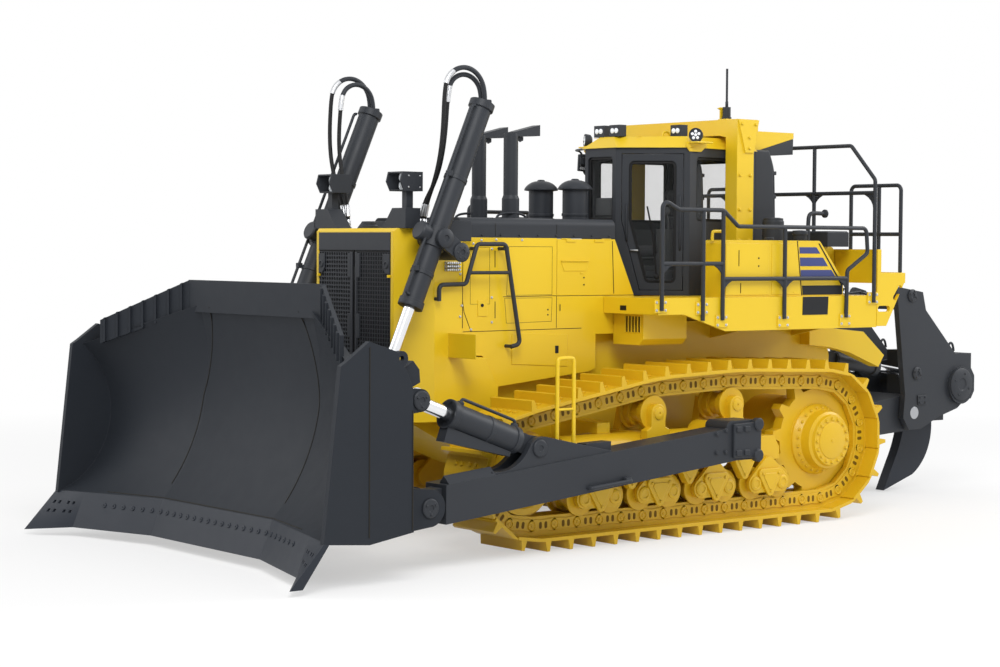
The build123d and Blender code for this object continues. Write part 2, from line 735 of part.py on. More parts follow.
def push_arm():
    """Box arm from the trunnion on the track frame to the pitch pin on the blade."""
    low, high = ARM_Y - ARM_WIDTH / 2, ARM_Y + ARM_WIDTH / 2
    box_end = PITCH_PIN[0] - EAR_R - 2 * EAR_GAP
    lean = (TRUNNION[1] - PITCH_PIN[1]) / (PITCH_PIN[0] - TRUNNION[0])
    rear_top = (TRUNNION[0] + TRUNNION_R, TRUNNION[1] + ARM_REAR[0])
    front_top = (box_end, PITCH_PIN[1] + ARM_DEPTH / 2 + lean * EAR_R)
    outline = shape(rear_top, front_top, (box_end, front_top[1] - ARM_DEPTH),
                    (rear_top[0], TRUNNION[1] - ARM_REAR[1]))
    arm = side(outline, low, high) + trunnion_cap(low, high)
    tongue = side(strap((box_end - EAR_R, PITCH_PIN[1] + lean * 2 * EAR_R), PITCH_PIN, TONGUE_R),
                  low + EAR_THICK + EAR_GAP, high - EAR_THICK - EAR_GAP)
    arm = arm + tongue - disc(*PITCH_PIN, PIN_R + PIN_CLEAR, low, high)
    arm -= disc(*TRUNNION, TRUNNION_R + PIN_CLEAR, low, TRUNNION_END + EAR_GAP)
    for y in (ARM_Y - BRACE_EYE_HALF - EAR_GAP - EAR_THICK, ARM_Y + BRACE_EYE_HALF + EAR_GAP):
        arm += side(brace_cheek(), y, y + EAR_THICK)
    arm += disc(*BRACE_FOOT, PIN_R, ARM_Y - BRACE_EYE_HALF - EAR_GAP, ARM_Y + BRACE_EYE_HALF + EAR_GAP)
    return arm + hose_angle(rear_top, front_top) + side(hose_box(rear_top, front_top), ARM_Y - EAR_THICK,
                                                        ARM_Y + EAR_THICK)


def trunnion_cap(low, high):
    """Split cap round the trunnion, with a bolted lobe above and below its open end."""
    x, z = TRUNNION
    cap = block((x - TRUNNION_CAP + 20, x + TRUNNION_CAP + 50), (low, high),
                (z - ARM_REAR[0] + 15, z + ARM_REAR[0] - 15))
    for rise in (-LOBE_RISE, LOBE_RISE):
        cap += side(strap((x + TRUNNION_CAP, z + rise), (x - TRUNNION_CAP + LOBE_R + 20, z + rise),
                          LOBE_R), low, high)
    return cap


def brace_cheek():
    """Cheek on the arm that holds the foot of the brace: hollow in front, with a long slope behind."""
    x, z = BRACE_FOOT
    hollow = ThreePointArc((x + 542, z - 180), (x + 235, z - 118), (x + 95, z + 50))
    rest = Polyline((x + 95, z + 50), (x + 20, z + 98), (x - 75, z + 100), (x - 877, z - 73),
                    (x - 877, z - 200),
                    (x + 542, z - 330), (x + 542, z - 180))
    return make_face([hollow, rest])


def hose_angle(rear_top, front_top):
    """Angle bar along the top of the arm behind the blade."""
    start, end = lerp(rear_top, front_top, ANGLE_RUN[0]), lerp(rear_top, front_top, ANGLE_RUN[1])
    run = Vector(end[0] - start[0], 0, end[1] - start[1])
    plane = Plane(origin=(start[0], ARM_Y + ANGLE_RISE, start[1]), x_dir=(0, 1, 0), z_dir=run)
    bar = shape((-ANGLE_RISE, -EAR_GAP), (ANGLE_RISE, -EAR_GAP), (ANGLE_RISE, 0), (0, ANGLE_RISE),
                (-ANGLE_RISE, 0))
    return extrude(plane * bar, run.length)


def hose_box(rear_top, front_top):
    """Outline of the low box on the arm behind the brace's cheeks."""
    rear, ahead = lerp(rear_top, front_top, BOX_RUN[0]), lerp(rear_top, front_top, BOX_RUN[1])
    return shape((rear[0], rear[1] - EAR_THICK), (ahead[0], ahead[1] - EAR_THICK),
                 (ahead[0], ahead[1] + BOX_RISE),
                 (rear[0], rear[1] + BOX_RISE - 20))


def jack(foot, eye, y, barrel_r, rod_r, start, end, eye_half, depth, inside):
    """Barrel and rod of a hydraulic cylinder on the line from its pivot to its rod eye."""
    def spot(distance):
        x, z = along(foot, eye, distance)
        return (x, y, z)

    length = math.dist(foot, eye)
    barrel = rod(spot(start), spot(end), barrel_r)
    barrel += rod(spot(end - 70), spot(end), barrel_r + 14)
    barrel -= rod(spot(end - depth), spot(end + 1), rod_r + ROD_CLEAR)
    piston = rod(spot(end - inside), spot(length), rod_r)
    piston += disc(*eye, rod_r * 1.75, y - eye_half, y + eye_half)
    return barrel, piston


def lift_jack():
    """Lift cylinder, hung at its waist on two trunnion studs."""
    barrel, piston = jack(LIFT_YOKE, LIFT_EYE, LIFT_Y, LIFT_BARREL_R, LIFT_ROD_R, -LIFT_ABOVE, LIFT_BELOW,
                          LIFT_EYE_HALF, LIFT_BELOW + LIFT_ABOVE - 100, LIFT_BELOW - 40)
    collar_low = along(LIFT_YOKE, LIFT_EYE, -95)
    collar_high = along(LIFT_YOKE, LIFT_EYE, 95)
    collar = rod((collar_low[0], LIFT_Y, collar_low[1]), (collar_high[0], LIFT_Y, collar_high[1]),
                 LIFT_COLLAR_R)
    collar += disc(*LIFT_YOKE, YOKE_PIN_R, GUARD_HALF + 2,
                   LIFT_Y + LIFT_COLLAR_R + EAR_GAP + YOKE_EAR - 2)
    bore_from = along(LIFT_YOKE, LIFT_EYE, -100)
    bore_to = along(LIFT_YOKE, LIFT_EYE, 100)
    collar -= rod((bore_from[0], LIFT_Y, bore_from[1]), (bore_to[0], LIFT_Y, bore_to[1]),
                  LIFT_ROD_R + ROD_CLEAR)
    head_x, head_z = along(LIFT_YOKE, LIFT_EYE, -LIFT_ABOVE)
    port = block((head_x - 30, head_x + 30), (LIFT_Y - 60, LIFT_Y + 60), (head_z - 40, head_z + HOSE_PORT))
    return barrel + collar + port, piston


def brace_jack():
    """Brace cylinder between the push arm and the head of the blade, with a hose guard slung below it."""
    barrel, piston = jack(BRACE_FOOT, BRACE_EYE, ARM_Y, BRACE_BARREL_R, BRACE_ROD_R, BRACE_NECK,
                          BRACE_BARREL,
                          BRACE_EYE_HALF, BRACE_BARREL - BRACE_NECK - 70, BRACE_BARREL - BRACE_NECK - 230)
    low, high = ARM_Y - BRACE_EYE_HALF, ARM_Y + BRACE_EYE_HALF
    neck = side(strap(BRACE_FOOT, along(BRACE_FOOT, BRACE_EYE, BRACE_NECK + EAR_GAP), BRACE_EYE_R), low,
                high)
    neck -= disc(*BRACE_FOOT, PIN_R + PIN_CLEAR, low - 1, high + 1)
    rear, ahead = BRACE_GUARD_RUN
    rim = EAR_GAP - BRACE_BARREL_R
    corners = ((rear, rim), (ahead, rim), (ahead, -BRACE_GUARD[1]), (rear, -BRACE_GUARD[0]))
    guard = side(shape(*[along(BRACE_FOOT, BRACE_EYE, *corner) for corner in corners]), low, high)
    return barrel + neck + guard, piston


def lift_yoke():
    """Fork on the radiator guard that holds the studs of a lift cylinder."""
    inner = LIFT_Y - LIFT_COLLAR_R - EAR_GAP
    outer = LIFT_Y + LIFT_COLLAR_R + EAR_GAP
    root = (LIFT_YOKE[0] - 185, LIFT_YOKE[1] - 130)
    cheek = make_hull([ring(LIFT_YOKE, 85), ring(root, 75)])
    fork = side(cheek, GUARD_HALF, inner) + side(cheek, outer, outer + YOKE_EAR)
    fork += disc(*root, 75, GUARD_HALF, outer + YOKE_EAR)
    return fork - disc(*LIFT_YOKE, YOKE_PIN_R + PIN_CLEAR, inner - YOKE_EAR - 5, outer + YOKE_EAR + 5)


# Hull superstructure


def guard_plan(inset):
    """Plan of the radiator guard, narrow at its front, set in by a wall."""
    return shape(
        (GUARD_REAR, -GUARD_HALF + inset),
        (GUARD_KNEE, -GUARD_HALF + inset),
        (GUARD_FRONT - inset, -GUARD_HALF_FRONT + inset),
        (GUARD_FRONT - inset, GUARD_HALF_FRONT - inset),
        (GUARD_KNEE, GUARD_HALF - inset),
        (GUARD_REAR, GUARD_HALF - inset),
    )


def radiator_guard():
    """Hollow guard round the radiator, with its door opening and a middle post."""
    shell = top(guard_plan(0), GUARD_FOOT, GUARD_TOP)
    edges = shell.edges().filter_by(Plane.XY).group_by(Axis.Z)[-1]
    shell = chamfer(edges.filter_by(Axis.X, reverse=True).group_by(Axis.X)[-1], 30)
    shell -= top(guard_plan(GUARD_WALL), GUARD_FOOT + GUARD_WALL, GUARD_TOP - GUARD_WALL)
    shell += block((GUARD_REAR, GUARD_FRONT - CORE_DEPTH),
                   (-GRILLE_HALF - GUARD_WALL, GRILLE_HALF + GUARD_WALL),
                   (GUARD_FOOT, GUARD_TOP - GUARD_WALL))
    shell -= block((GUARD_FRONT - 2 * GUARD_WALL, GUARD_FRONT + 1), (-GRILLE_HALF, GRILLE_HALF),
                   (GRILLE_FOOT, GRILLE_TOP))
    post_back = GUARD_FRONT - GRILLE_THICK - DOOR_GAP
    shell += block((post_back - POST_THICK, post_back), (-POST_HALF, POST_HALF),
                   (GRILLE_FOOT - 40, GRILLE_TOP + 40))
    apron = side(shape((GUARD_REAR + GUARD_WALL, GUARD_FOOT), (GUARD_REAR + GUARD_WALL, APRON_TOP),
                       (GUARD_REAR, APRON_TOP),
                       (APRON_KNEE[0] + 10, APRON_KNEE[1] - 12), (APRON_FOOT[0] + 14, APRON_FOOT[1]),
                       (APRON_FOOT[0] + 14, GUARD_FOOT)), FRAME_HALF, GUARD_HALF)
    step = block((STEP_X, STEP_X + SHEET), (GUARD_HALF - 1, STEP_OUT), (STEP_Z, STEP_TOP))
    step += block((STEP_REAR, STEP_X + SHEET), (GUARD_HALF - 1, STEP_OUT), (STEP_Z, STEP_Z + SHEET))
    for piece in (apron, step):
        shell = shell + piece + mirrored(piece)
    return shell


def grille_door():
    """Half of the grille: a flat frame round a thinner perforated sheet."""
    y = (DOOR_GAP + 2, GRILLE_HALF - DOOR_GAP)
    z = (GRILLE_FOOT + DOOR_GAP, GRILLE_TOP - DOOR_GAP)
    door = block((GUARD_FRONT - GRILLE_THICK, GUARD_FRONT), y, z)
    border = 42
    pane = ((y[0] + border, y[1] - border), (z[0] + border, z[1] - border))
    door -= block((GUARD_FRONT - 12, GUARD_FRONT + 1), *pane)
    door -= block((GUARD_FRONT - GRILLE_THICK - 1, GUARD_FRONT - 24), *pane)
    back = GUARD_FRONT - GRILLE_THICK
    for height in HINGE_HEIGHTS:
        middle = z[0] + height * (z[1] - z[0])
        door += block((back - DOOR_GAP + SEAT_GAP, back), (y[0], y[0] + 30),
                      (middle - HINGE_HALF, middle + HINGE_HALF))
        door += rod((GUARD_FRONT, y[0], middle - HINGE_HALF), (GUARD_FRONT, y[0], middle + HINGE_HALF),
                    KNUCKLE_R)
    return door


def hood():
    """Dark top cover of the engine, an inverted channel with rounded shoulders."""
    outer = front(shape((-HOOD_HALF, HOOD_BAND), (HOOD_HALF, HOOD_BAND), (HOOD_HALF, HOOD_TOP),
                        (-HOOD_HALF, HOOD_TOP)),
                  HOOD_REAR, GUARD_REAR)
    outer = fillet(outer.edges().filter_by(Axis.X).group_by(Axis.Z)[-1], 70)
    inner = block((HOOD_REAR + HOOD_WALL, GUARD_REAR + 1), (-HOOD_HALF + HOOD_WALL, HOOD_HALF - HOOD_WALL),
                  (HOOD_BAND - 1, HOOD_TOP - HOOD_WALL))
    return outer - inner


def side_panel():
    """Fixed engine side sheets ahead of and below the hinged cover, down to the track guard."""
    outline = shape(
        (GUARD_REAR, HOOD_BAND),
        (COVER_FRONT + DOOR_GAP, HOOD_BAND),
        (COVER_FRONT + DOOR_GAP, COVER_FOOT - DOOR_GAP),
        (COVER_SLANT, COVER_FOOT - DOOR_GAP),
        (COVER_SLANT, PANEL_FOOT - 60),
        (LOWER_REAR[0], PANEL_FOOT - 60),
        LOWER_REAR,
        (LOWER_REAR[0] + 78, LOWER_REAR[1] - 34),
        APRON_FOOT,
        APRON_KNEE,
        (GUARD_REAR, APRON_TOP + 10),
    )
    return side(outline, FRAME_HALF, HOOD_HALF) - side(
        shape((GUARD_REAR - 200, HOOD_BAND - 60), (COVER_FRONT + 60, HOOD_BAND - 60),
              (COVER_FRONT + 60, PANEL_FOOT),
              (GUARD_REAR - 200, PANEL_FOOT)), FRAME_HALF - 1, HOOD_HALF - HOOD_WALL)


def engine_cover():
    """Hinged cover over the engine, slanted at the cab."""
    outline = shape(
        (COVER_FRONT, HOOD_BAND - DOOR_GAP),
        (HOOD_REAR, HOOD_BAND - DOOR_GAP),
        (COVER_SLANT, COVER_FOOT),
        (COVER_FRONT, COVER_FOOT),
    )
    cover = side(outline, HOOD_HALF - HOOD_WALL, HOOD_HALF)
    for share in HINGE_HEIGHTS:
        middle = HOOD_REAR + share * (COVER_FRONT - HOOD_REAR)
        axis = (HOOD_HALF, HOOD_BAND - DOOR_GAP)
        cover += rod((middle - HINGE_HALF, *axis), (middle + HINGE_HALF, *axis), KNUCKLE_R)
    return cover


def engine():
    """Engine as one plain block."""
    return block((450, 2050), (-430, 430), (PANEL_FOOT - 60, HOOD_BAND - 60))


def exhaust_stack():
    """Pipe with a wider foot and a flared outlet turned to the rear."""
    x, y, height = STACK
    profile = [(0, HOOD_TOP), (STACK_FOOT_R, HOOD_TOP), (STACK_FOOT_R, STACK_TAPER[0]),
               (STACK_R, STACK_TAPER[1]), (STACK_R, height),
               (0, height)]
    pipe = Pos(x, y, 0) * revolve(Plane.XZ * make_face(Polyline(*profile, close=True)), Axis.Z)
    outlet = shape((x, OUTLET_ROOT[0]), (x, OUTLET_ROOT[1]), (x - OUTLET_RUN, OUTLET_TIP[1]),
                   (x - OUTLET_RUN, OUTLET_TIP[0]))
    hollow = shape((x - STACK_R, OUTLET_ROOT[0] + 3 * SHEET), (x - STACK_R, OUTLET_ROOT[1] + SHEET),
                   (x - OUTLET_RUN - SHEET, OUTLET_TIP[1] - SHEET),
                   (x - OUTLET_RUN - SHEET, OUTLET_TIP[0] + SHEET))
    horn = side(outlet, y - OUTLET_HALF, y + OUTLET_HALF) - side(hollow, y - OUTLET_HALF + SHEET,
                                                                 y + OUTLET_HALF - SHEET)
    return pipe + horn


def precleaner():
    """Air intake: a straight drum under a domed cap."""
    x, y, height = PRECLEANER
    drum = Polyline((PRECLEANER_R, PRECLEANER_RIM[1]), (PRECLEANER_R, PRECLEANER_RIM[0]),
                    (PRECLEANER_BODY, PRECLEANER_RIM[0] - SHEET),
                    (PRECLEANER_BODY, HOOD_TOP), (0, HOOD_TOP), (0, height))
    dome = ThreePointArc((0, height), (0.7 * PRECLEANER_R, height - 22), (PRECLEANER_R, PRECLEANER_RIM[1]))
    return Pos(x, y, 0) * revolve(Plane.XZ * make_face([drum, dome]), Axis.Z)


# Cab


def cab_corners(inset):
    """Left-hand corners of the six-sided cab, from nose to tail, set in from the outer face."""
    slant = math.atan2(CAB_HALF - CAB_NOSE_HALF, CAB_FRONT - CAB_WAIST)
    tail = math.atan2(CAB_HALF - CAB_REAR_HALF, CAB_WAIST - CAB_REAR)
    nose = (CAB_FRONT - inset, CAB_NOSE_HALF - inset * math.tan(slant / 2 + math.pi / 4)
            + inset * math.tan(slant))
    waist_turn = (slant + tail) / 2
    lean = (slant - tail) / 2
    waist = (CAB_WAIST - inset * math.sin(lean) / math.cos(waist_turn),
             CAB_HALF - inset * math.cos(lean) / math.cos(waist_turn))
    rear = (CAB_REAR + inset, CAB_REAR_HALF - inset * (1 / math.cos(tail) - math.tan(tail)))
    return nose, waist, rear


def cab_plan(inset):
    """Plan of the cab, set in from the outer face."""
    left = cab_corners(inset)
    return shape(*left, *[(x, -y) for x, y in reversed(left)])


def door_plane():
    """Outer face of the left door: its origin at the waist corner, x to the nose, y up, z into the cab."""
    run = Vector(CAB_FRONT - CAB_WAIST, CAB_NOSE_HALF - CAB_HALF, 0)
    return Plane(origin=(CAB_WAIST, CAB_HALF, DECK_Z), x_dir=run, z_dir=run.cross(Vector(0, 0, 1)))


def door_outline(gap):
    """Door in its own plane: a slanted lower front corner, set in by a gap."""
    wide = math.dist((CAB_FRONT, CAB_NOSE_HALF), (CAB_WAIST, CAB_HALF)) - DOOR_POST
    tall = CAB_TOP - DECK_Z - DOOR_HEAD
    outline = shape((DOOR_POST, DOOR_FOOT), (wide - 190, DOOR_FOOT), (wide, CAB_SILL), (wide, tall),
                    (DOOR_POST, tall))
    return offset(outline, -gap, kind=Kind.INTERSECTION) if gap else outline


def door_window(gap):
    """Rounded window inside the door's border, set in by a gap."""
    return offset(fillet(offset(door_outline(0), -DOOR_BORDER, kind=Kind.INTERSECTION).vertices(), 60),
                  -gap)


def cab_panes(gap):
    """Faces of the nose, tail and quarter windows on the cab's outer faces, left ones only."""
    sill, head = DECK_Z + CAB_SILL, CAB_TOP - 90
    middle, tall = (sill + head) / 2, head - sill - 2 * gap
    nose = Plane(origin=(CAB_FRONT, 0, middle), x_dir=(0, 1, 0), z_dir=(1, 0, 0))
    tail = Plane(origin=(CAB_REAR, 0, middle), x_dir=(0, -1, 0), z_dir=(-1, 0, 0))
    run = Vector(CAB_WAIST - CAB_REAR, CAB_HALF - CAB_REAR_HALF, 0)
    quarter = Plane(origin=((CAB_WAIST + CAB_REAR) / 2, (CAB_HALF + CAB_REAR_HALF) / 2, middle), x_dir=run,
                    z_dir=run.cross(Vector(0, 0, 1)) * -1)
    return [
        (nose, RectangleRounded(2 * (CAB_NOSE_HALF - 45 - gap), tall, 50)),
        (tail, RectangleRounded(2 * (CAB_REAR_HALF - 110 - gap), tall, 50)),
        (quarter, RectangleRounded(run.length - 220 - 2 * gap, tall, 50)),
    ]


def cab_frame():
    """Hollow cab with its door and window openings."""
    shell = top(cab_plan(0), DECK_Z, CAB_TOP)
    shell -= top(cab_plan(CAB_WALL), DECK_Z + CAB_FLOOR, CAB_TOP - CAB_FLOOR)
    cuts = [extrude(door_plane() * door_outline(0), 2 * CAB_WALL, both=True)]
    cuts += [extrude(plane * pane, 2 * CAB_WALL, both=True) for plane, pane in cab_panes(0)]
    for cut in cuts:
        shell = shell - cut - mirrored(cut)
    roof = CAB_TOP - SEAT_GAP
    visor = shape((CAB_REAR + 5, roof - CAB_FLOOR), (CAB_REAR + 5, roof), (CAB_REAR - 50, roof),
                  (TAIL_END + 5, TAIL_LOW - EAR_GAP),
                  (TAIL_END + 10, VISOR_FOOT), (TAIL_END + 284, VISOR_FOOT - 18),
                  (CAB_REAR - 60, VISOR_FOOT - 18))
    return shell + side(visor, -TAIL_HALF, TAIL_HALF)


def cab_glass():
    """Panes in the middle of the wall, in the nose, tail and quarter openings."""
    panes = []
    for plane, pane in cab_panes(SEAT_GAP):
        sheet = extrude(plane.offset(-CAB_WALL / 2) * pane, GLASS / 2, both=True)
        panes += [sheet, mirrored(sheet)] if abs(plane.z_dir.Y) > 0.1 else [sheet]
    return Compound(children=[Part(pane.wrapped) for pane in panes])


def cab_door():
    """Door leaf with its window cut, as thick as the wall."""
    leaf = extrude(door_plane() * (door_outline(DOOR_GAP) - door_window(0)), CAB_WALL)
    for share in HINGE_HEIGHTS:
        height = DOOR_FOOT + share * (CAB_TOP - DECK_Z - DOOR_HEAD - DOOR_FOOT)
        foot = door_plane().from_local_coords(Vector(DOOR_POST + DOOR_GAP, height - HINGE_HALF, 0))
        leaf += rod(tuple(foot), tuple(foot + Vector(0, 0, 2 * HINGE_HALF)), KNUCKLE_R)
    return leaf


def door_glass():
    """Pane in the middle of the door."""
    return extrude(door_plane().offset(CAB_WALL / 2) * door_window(SEAT_GAP), GLASS / 2, both=True)


def cab_roof():
    """Roof cap with sloping sides and a wedge-shaped tail over the rear window."""
    low = cab_plan(-ROOF_LIP)
    high = cab_plan(ROOF_BEVEL)
    cap = loft([Plane.XY.offset(CAB_TOP) * low, Plane.XY.offset(CAB_TOP + ROOF_THICK) * high], ruled=True)
    tail = shape((TAIL_FRONT, CAB_TOP), (CAB_REAR - 50, CAB_TOP), (TAIL_END, TAIL_LOW),
                 (TAIL_END, TAIL_TOP), (TAIL_FRONT, TAIL_TOP))
    return cap + side(tail, -TAIL_HALF, TAIL_HALF)


def operator_seat():
    """Seat on its pedestal."""
    x = CAB_WAIST - 330
    floor = DECK_Z + CAB_FLOOR
    base = block((x - 190, x + 190), (-170, 170), (floor, floor + 340))
    cushion = fillet(block((x - 250, x + 270), (-260, 260), (floor + 340, floor + 480)).edges(), 40)
    back = fillet(block((x - 340, x - 220), (-250, 250), (floor + 400, floor + 1100)).edges(), 40)
    return base + cushion + back


def control_console():
    """Arm-rest consoles beside the seat and the dash in the nose."""
    x = CAB_WAIST - 330
    floor = DECK_Z + CAB_FLOOR
    pod = block((x - 200, x + 350), (310, 450), (floor, floor + 640))
    dash = block((CAB_FRONT - 260, CAB_FRONT - 100), (-190, 190), (floor, floor + 780))
    return Compound(children=[pod, mirrored(pod), dash])


def rops():
    """Roll-over frame: two posts and a beam across behind the cab roof, joined by gusset plates."""
    foot = ROPS_TOP - ROPS_BEAM
    half = block(ROPS_POST, ROPS_Y, (DECK_Z, foot + 10))
    half += front(shape((ROPS_Y[0] - 150, foot + 10), (ROPS_Y[0] + 10, foot + 10),
                        (ROPS_Y[0] + 10, foot - 20)), *ROPS_POST)
    gusset = shape((ROPS_X[1], ROPS_TOP - 5), (ROPS_X[0], ROPS_TOP - 5), (ROPS_POST[0] + 15, foot - 180),
                   (ROPS_POST[1] - 105, foot - 180))
    half += side(gusset, ROPS_Y[1] - 1, ROPS_Y[1] + GUSSET)
    beam = block(ROPS_X, (-ROPS_Y[1], ROPS_Y[1]), (foot, ROPS_TOP))
    return beam + half + mirrored(half)


# Decks and fittings


def fender():
    """Deck over the track with its outer skirt, two ribs and a locker hung under its front."""
    inner = HOOD_HALF + DOOR_GAP
    deck = block((DECK_REAR, DECK_FRONT), (inner, DECK_OUT), (DECK_Z - DECK_PLATE, DECK_Z))
    skirt = side(shape((DECK_FRONT, DECK_Z), (DECK_FRONT, DECK_LIP), (DECK_KNEE, DECK_LIP),
                       (DECK_STEP, DECK_SKIRT),
                       (DECK_REAR, DECK_SKIRT), (DECK_REAR, DECK_Z)), DECK_OUT - DECK_PLATE, DECK_OUT)
    lip = block((DECK_FRONT - DECK_PLATE, DECK_FRONT), (inner, DECK_OUT), (DECK_LIP, DECK_Z))
    piece = deck + skirt + lip
    for x in RIB_X:
        piece += front(shape((FRAME_HALF, RIB_FOOT), (DECK_OUT - 10, DECK_SKIRT + 80),
                             (DECK_OUT - 10, DECK_Z - 10),
                             (FRAME_HALF, DECK_Z - 10)), x - RIB_HALF, x + RIB_HALF)
    locker = block(LOCKER_X, (inner, LOCKER_OUT), (LOCKER_FOOT, DECK_Z - DECK_PLATE + 1))
    return piece + chamfer(locker.edges().filter_by(Axis.X).group_by(Axis.Z)[0].sort_by(Axis.Y)[-1],
                           LOCKER_BEVEL)


def side_tank():
    outline = shape((TANK_FRONT, DECK_Z), (TANK_FRONT, TANK_TOP), (TANK_SLOPE, TANK_TOP),
                    (TANK_REAR, TANK_TAIL),
                    (TANK_REAR, DECK_Z))
    tank = side(outline, TANK_IN, TANK_OUT)
    return fillet(tank.edges().filter_by(Axis.Y).group_by(Axis.Z)[-1], 40)


def fuel_tank():
    """Tank across the rear of the hull, behind the cab."""
    tank = block((FUEL_REAR, CAB_REAR - 40), (-FUEL_HALF, FUEL_HALF), (DECK_Z, FUEL_TOP))
    return fillet(tank.edges().filter_by(Axis.Y), 60)


def rear_locker():
    """Dark box on the left of the fuel tank."""
    box = block((FUEL_REAR + 95, FUEL_REAR + 420), LOCKER2_Y, (FUEL_TOP, LOCKER2_TOP))
    return chamfer(box.edges().group_by(Axis.Z)[-1], 15)


def rear_platform():
    """Step box behind the deck, its bulkhead and a slotted side plate."""
    step = block((PLATFORM_X, DECK_REAR), PLATFORM_Y, PLATFORM_Z)
    step += block((DECK_REAR - BULKHEAD, DECK_REAR), PLATFORM_Y, (PLATFORM_Z[0], BULKHEAD_TOP))
    high = PLATFORM_Z[0] + 20
    web = shape((PLATFORM_X + 5, high), (DECK_REAR, high), (DECK_REAR, DECK_SKIRT + 10),
                (DECK_REAR - 150, DECK_SKIRT + 10))
    for x, z, turn in ((DECK_REAR - 110, high - 290, 0), (DECK_REAR - 325, high - 125, -52)):
        web -= Pos(x, z) * Rot(0, 0, turn) * SlotOverall(*WEB_SLOT)
    return step + side(web, PLATFORM_Y[1] - PLATFORM_WEB, PLATFORM_Y[1])


def deck_rail():
    """Rail along the outer edge of a deck, with its posts, low bars and the bent tubes beside the hood."""
    y = DECK_OUT + RAIL_R
    foot, rear_foot = DECK_Z - 120, DECK_SKIRT + 110
    hoop = rail([(404, y, foot), (404, y, RAIL_PEAK), (190, y, RAIL_HIGH), (-416, y, RAIL_HIGH),
                 (-622, y, RAIL_TOP),
                 (-2505, y, RAIL_TOP), (-2530, y, RAIL_TOP - 260), (-2219, y, RAIL_TOP - 440),
                 (-2210, y, rear_foot)], RAIL_BEND)
    for x, top_z in ((-146, RAIL_HIGH), (-416, RAIL_HIGH), (-1290, RAIL_TOP)):
        hoop += rod((x, y, rear_foot), (x, y, top_z), RAIL_R)
    hoop += rod((404, y, RAIL_MID), (-416, y, RAIL_MID), RAIL_R)
    hoop += rod((-416, y, RAIL_LOW), (-2212, y, RAIL_LOW), RAIL_R)
    return hoop


def hood_rail():
    """Climbing rail on the side of the engine, ahead of the hinged cover."""
    y = HOOD_HALF + 100
    frame = rail([(2551, y, 2311), (2551, y, 2462), (2235, y, 2467), (2107, y, 2842), (1757, y, 2844),
                  (1577, y, 1890),
                  (1690, y, 1866)], 50)
    frame += rod((2198, y, 2573), (1704, y, 2573), RAIL_R * 0.8)
    for x, z in ((2551, 2330), (2107, 2800), (1765, 2800), (1675, 1869)):
        wall = GUARD_HALF if x > GUARD_REAR else HOOD_HALF
        frame += rod((x, wall + SEAT_GAP, z), (x, y, z), RAIL_R * 0.8)
    return frame


def rear_rail():
    """Tall hoop across the machine behind the cab."""
    y = DECK_OUT + RAIL_R
    foot = DECK_SKIRT + 260
    hoop = rail([(REAR_RAIL_X, -y, foot), (REAR_RAIL_X, -y, 3546), (REAR_RAIL_X, -1180, REAR_RAIL_TOP),
                 (REAR_RAIL_X, 1180, REAR_RAIL_TOP),
                 (REAR_RAIL_X, y, 3546), (REAR_RAIL_X, y, foot)], RAIL_BEND)
    for post in (-654, 654):
        hoop += rod((REAR_RAIL_X, post, FUEL_TOP), (REAR_RAIL_X, post, REAR_RAIL_TOP), RAIL_R)
    return hoop + rod((REAR_RAIL_X, -y, REAR_RAIL_MID), (REAR_RAIL_X, y, REAR_RAIL_MID), RAIL_R)


def platform_rail():
    """Small hoop at the rear edge of a platform."""
    x = PLATFORM_X + 40
    foot, high, mid = PLATFORM_Z[1], 3500, 2978
    hoop = rail([(x, 760, foot), (x, 760, high), (x, 1465, high), (x, 1465, foot)], RAIL_BEND)
    hoop += rod((x, 1160, foot), (x, 1160, high), RAIL_R)
    return hoop + rod((x, 760, mid), (x, 1465, mid), RAIL_R)


def handrails():
    """All rails of both sides and the hoop across."""
    tubes = [rear_rail()]
    for tube in (deck_rail(), hood_rail(), platform_rail()):
        tubes += [tube, mirrored(tube)]
    return Compound(children=[Part(tube.wrapped) for tube in tubes])


def front_lamp():
    """Hooded lamp box on a post, on a sloping bracket on the radiator guard."""
    bracket = front(shape((375, GUARD_TOP), (GUARD_HALF, GUARD_TOP), (GUARD_HALF, LAMP_FOOT),
                          (533, LAMP_FOOT)), LAMP_X[0] + 60, LAMP_X[1])
    post = block((LAMP_X[0] + 75, LAMP_X[0] + 150), (575, 645), (LAMP_FOOT - 1, LAMP_Z[0] + 1))
    hood_side = shape((LAMP_X[0], LAMP_Z[0]), (LAMP_X[1] - 20, LAMP_Z[0]),
                      (LAMP_X[1] + 25, sum(LAMP_Z) / 2), (LAMP_X[1], LAMP_Z[1]),
                      (LAMP_X[0], LAMP_Z[1]))
    box = side(hood_side, *LAMP_Y)
    box -= block((LAMP_X[0] + LAMP_DEPTH, LAMP_X[1] + 50), (LAMP_Y[0] + LAMP_WALL, LAMP_Y[1] - LAMP_WALL),
                 (LAMP_Z[0] + LAMP_WALL, LAMP_Z[1] - LAMP_WALL))
    return bracket + post + box


def work_lamp(x, y):
    base = CAB_TOP + ROOF_THICK
    return block((x - 45, x + 45), (y - 80, y + 80), (base, base + 120))


def antenna():
    x, y = sum(ROPS_X) / 2, ANTENNA_Y
    return rod((x, y, ROPS_TOP), (x, y, ANTENNA_TOP), 12) + rod((x, y, ROPS_TOP), (x, y, ROPS_TOP + 140),
                                                                42)


# Ripper


def eye_foot(foot, eye, y, half, pin_r, reach):
    """Eye at a barrel's foot, bored for its pin."""
    neck = side(strap(foot, along(foot, eye, reach), RIP_BARREL_R - EAR_GAP), y - half, y + half)
    return neck - disc(*foot, pin_r + PIN_CLEAR, y - 2 * half, y + 2 * half)


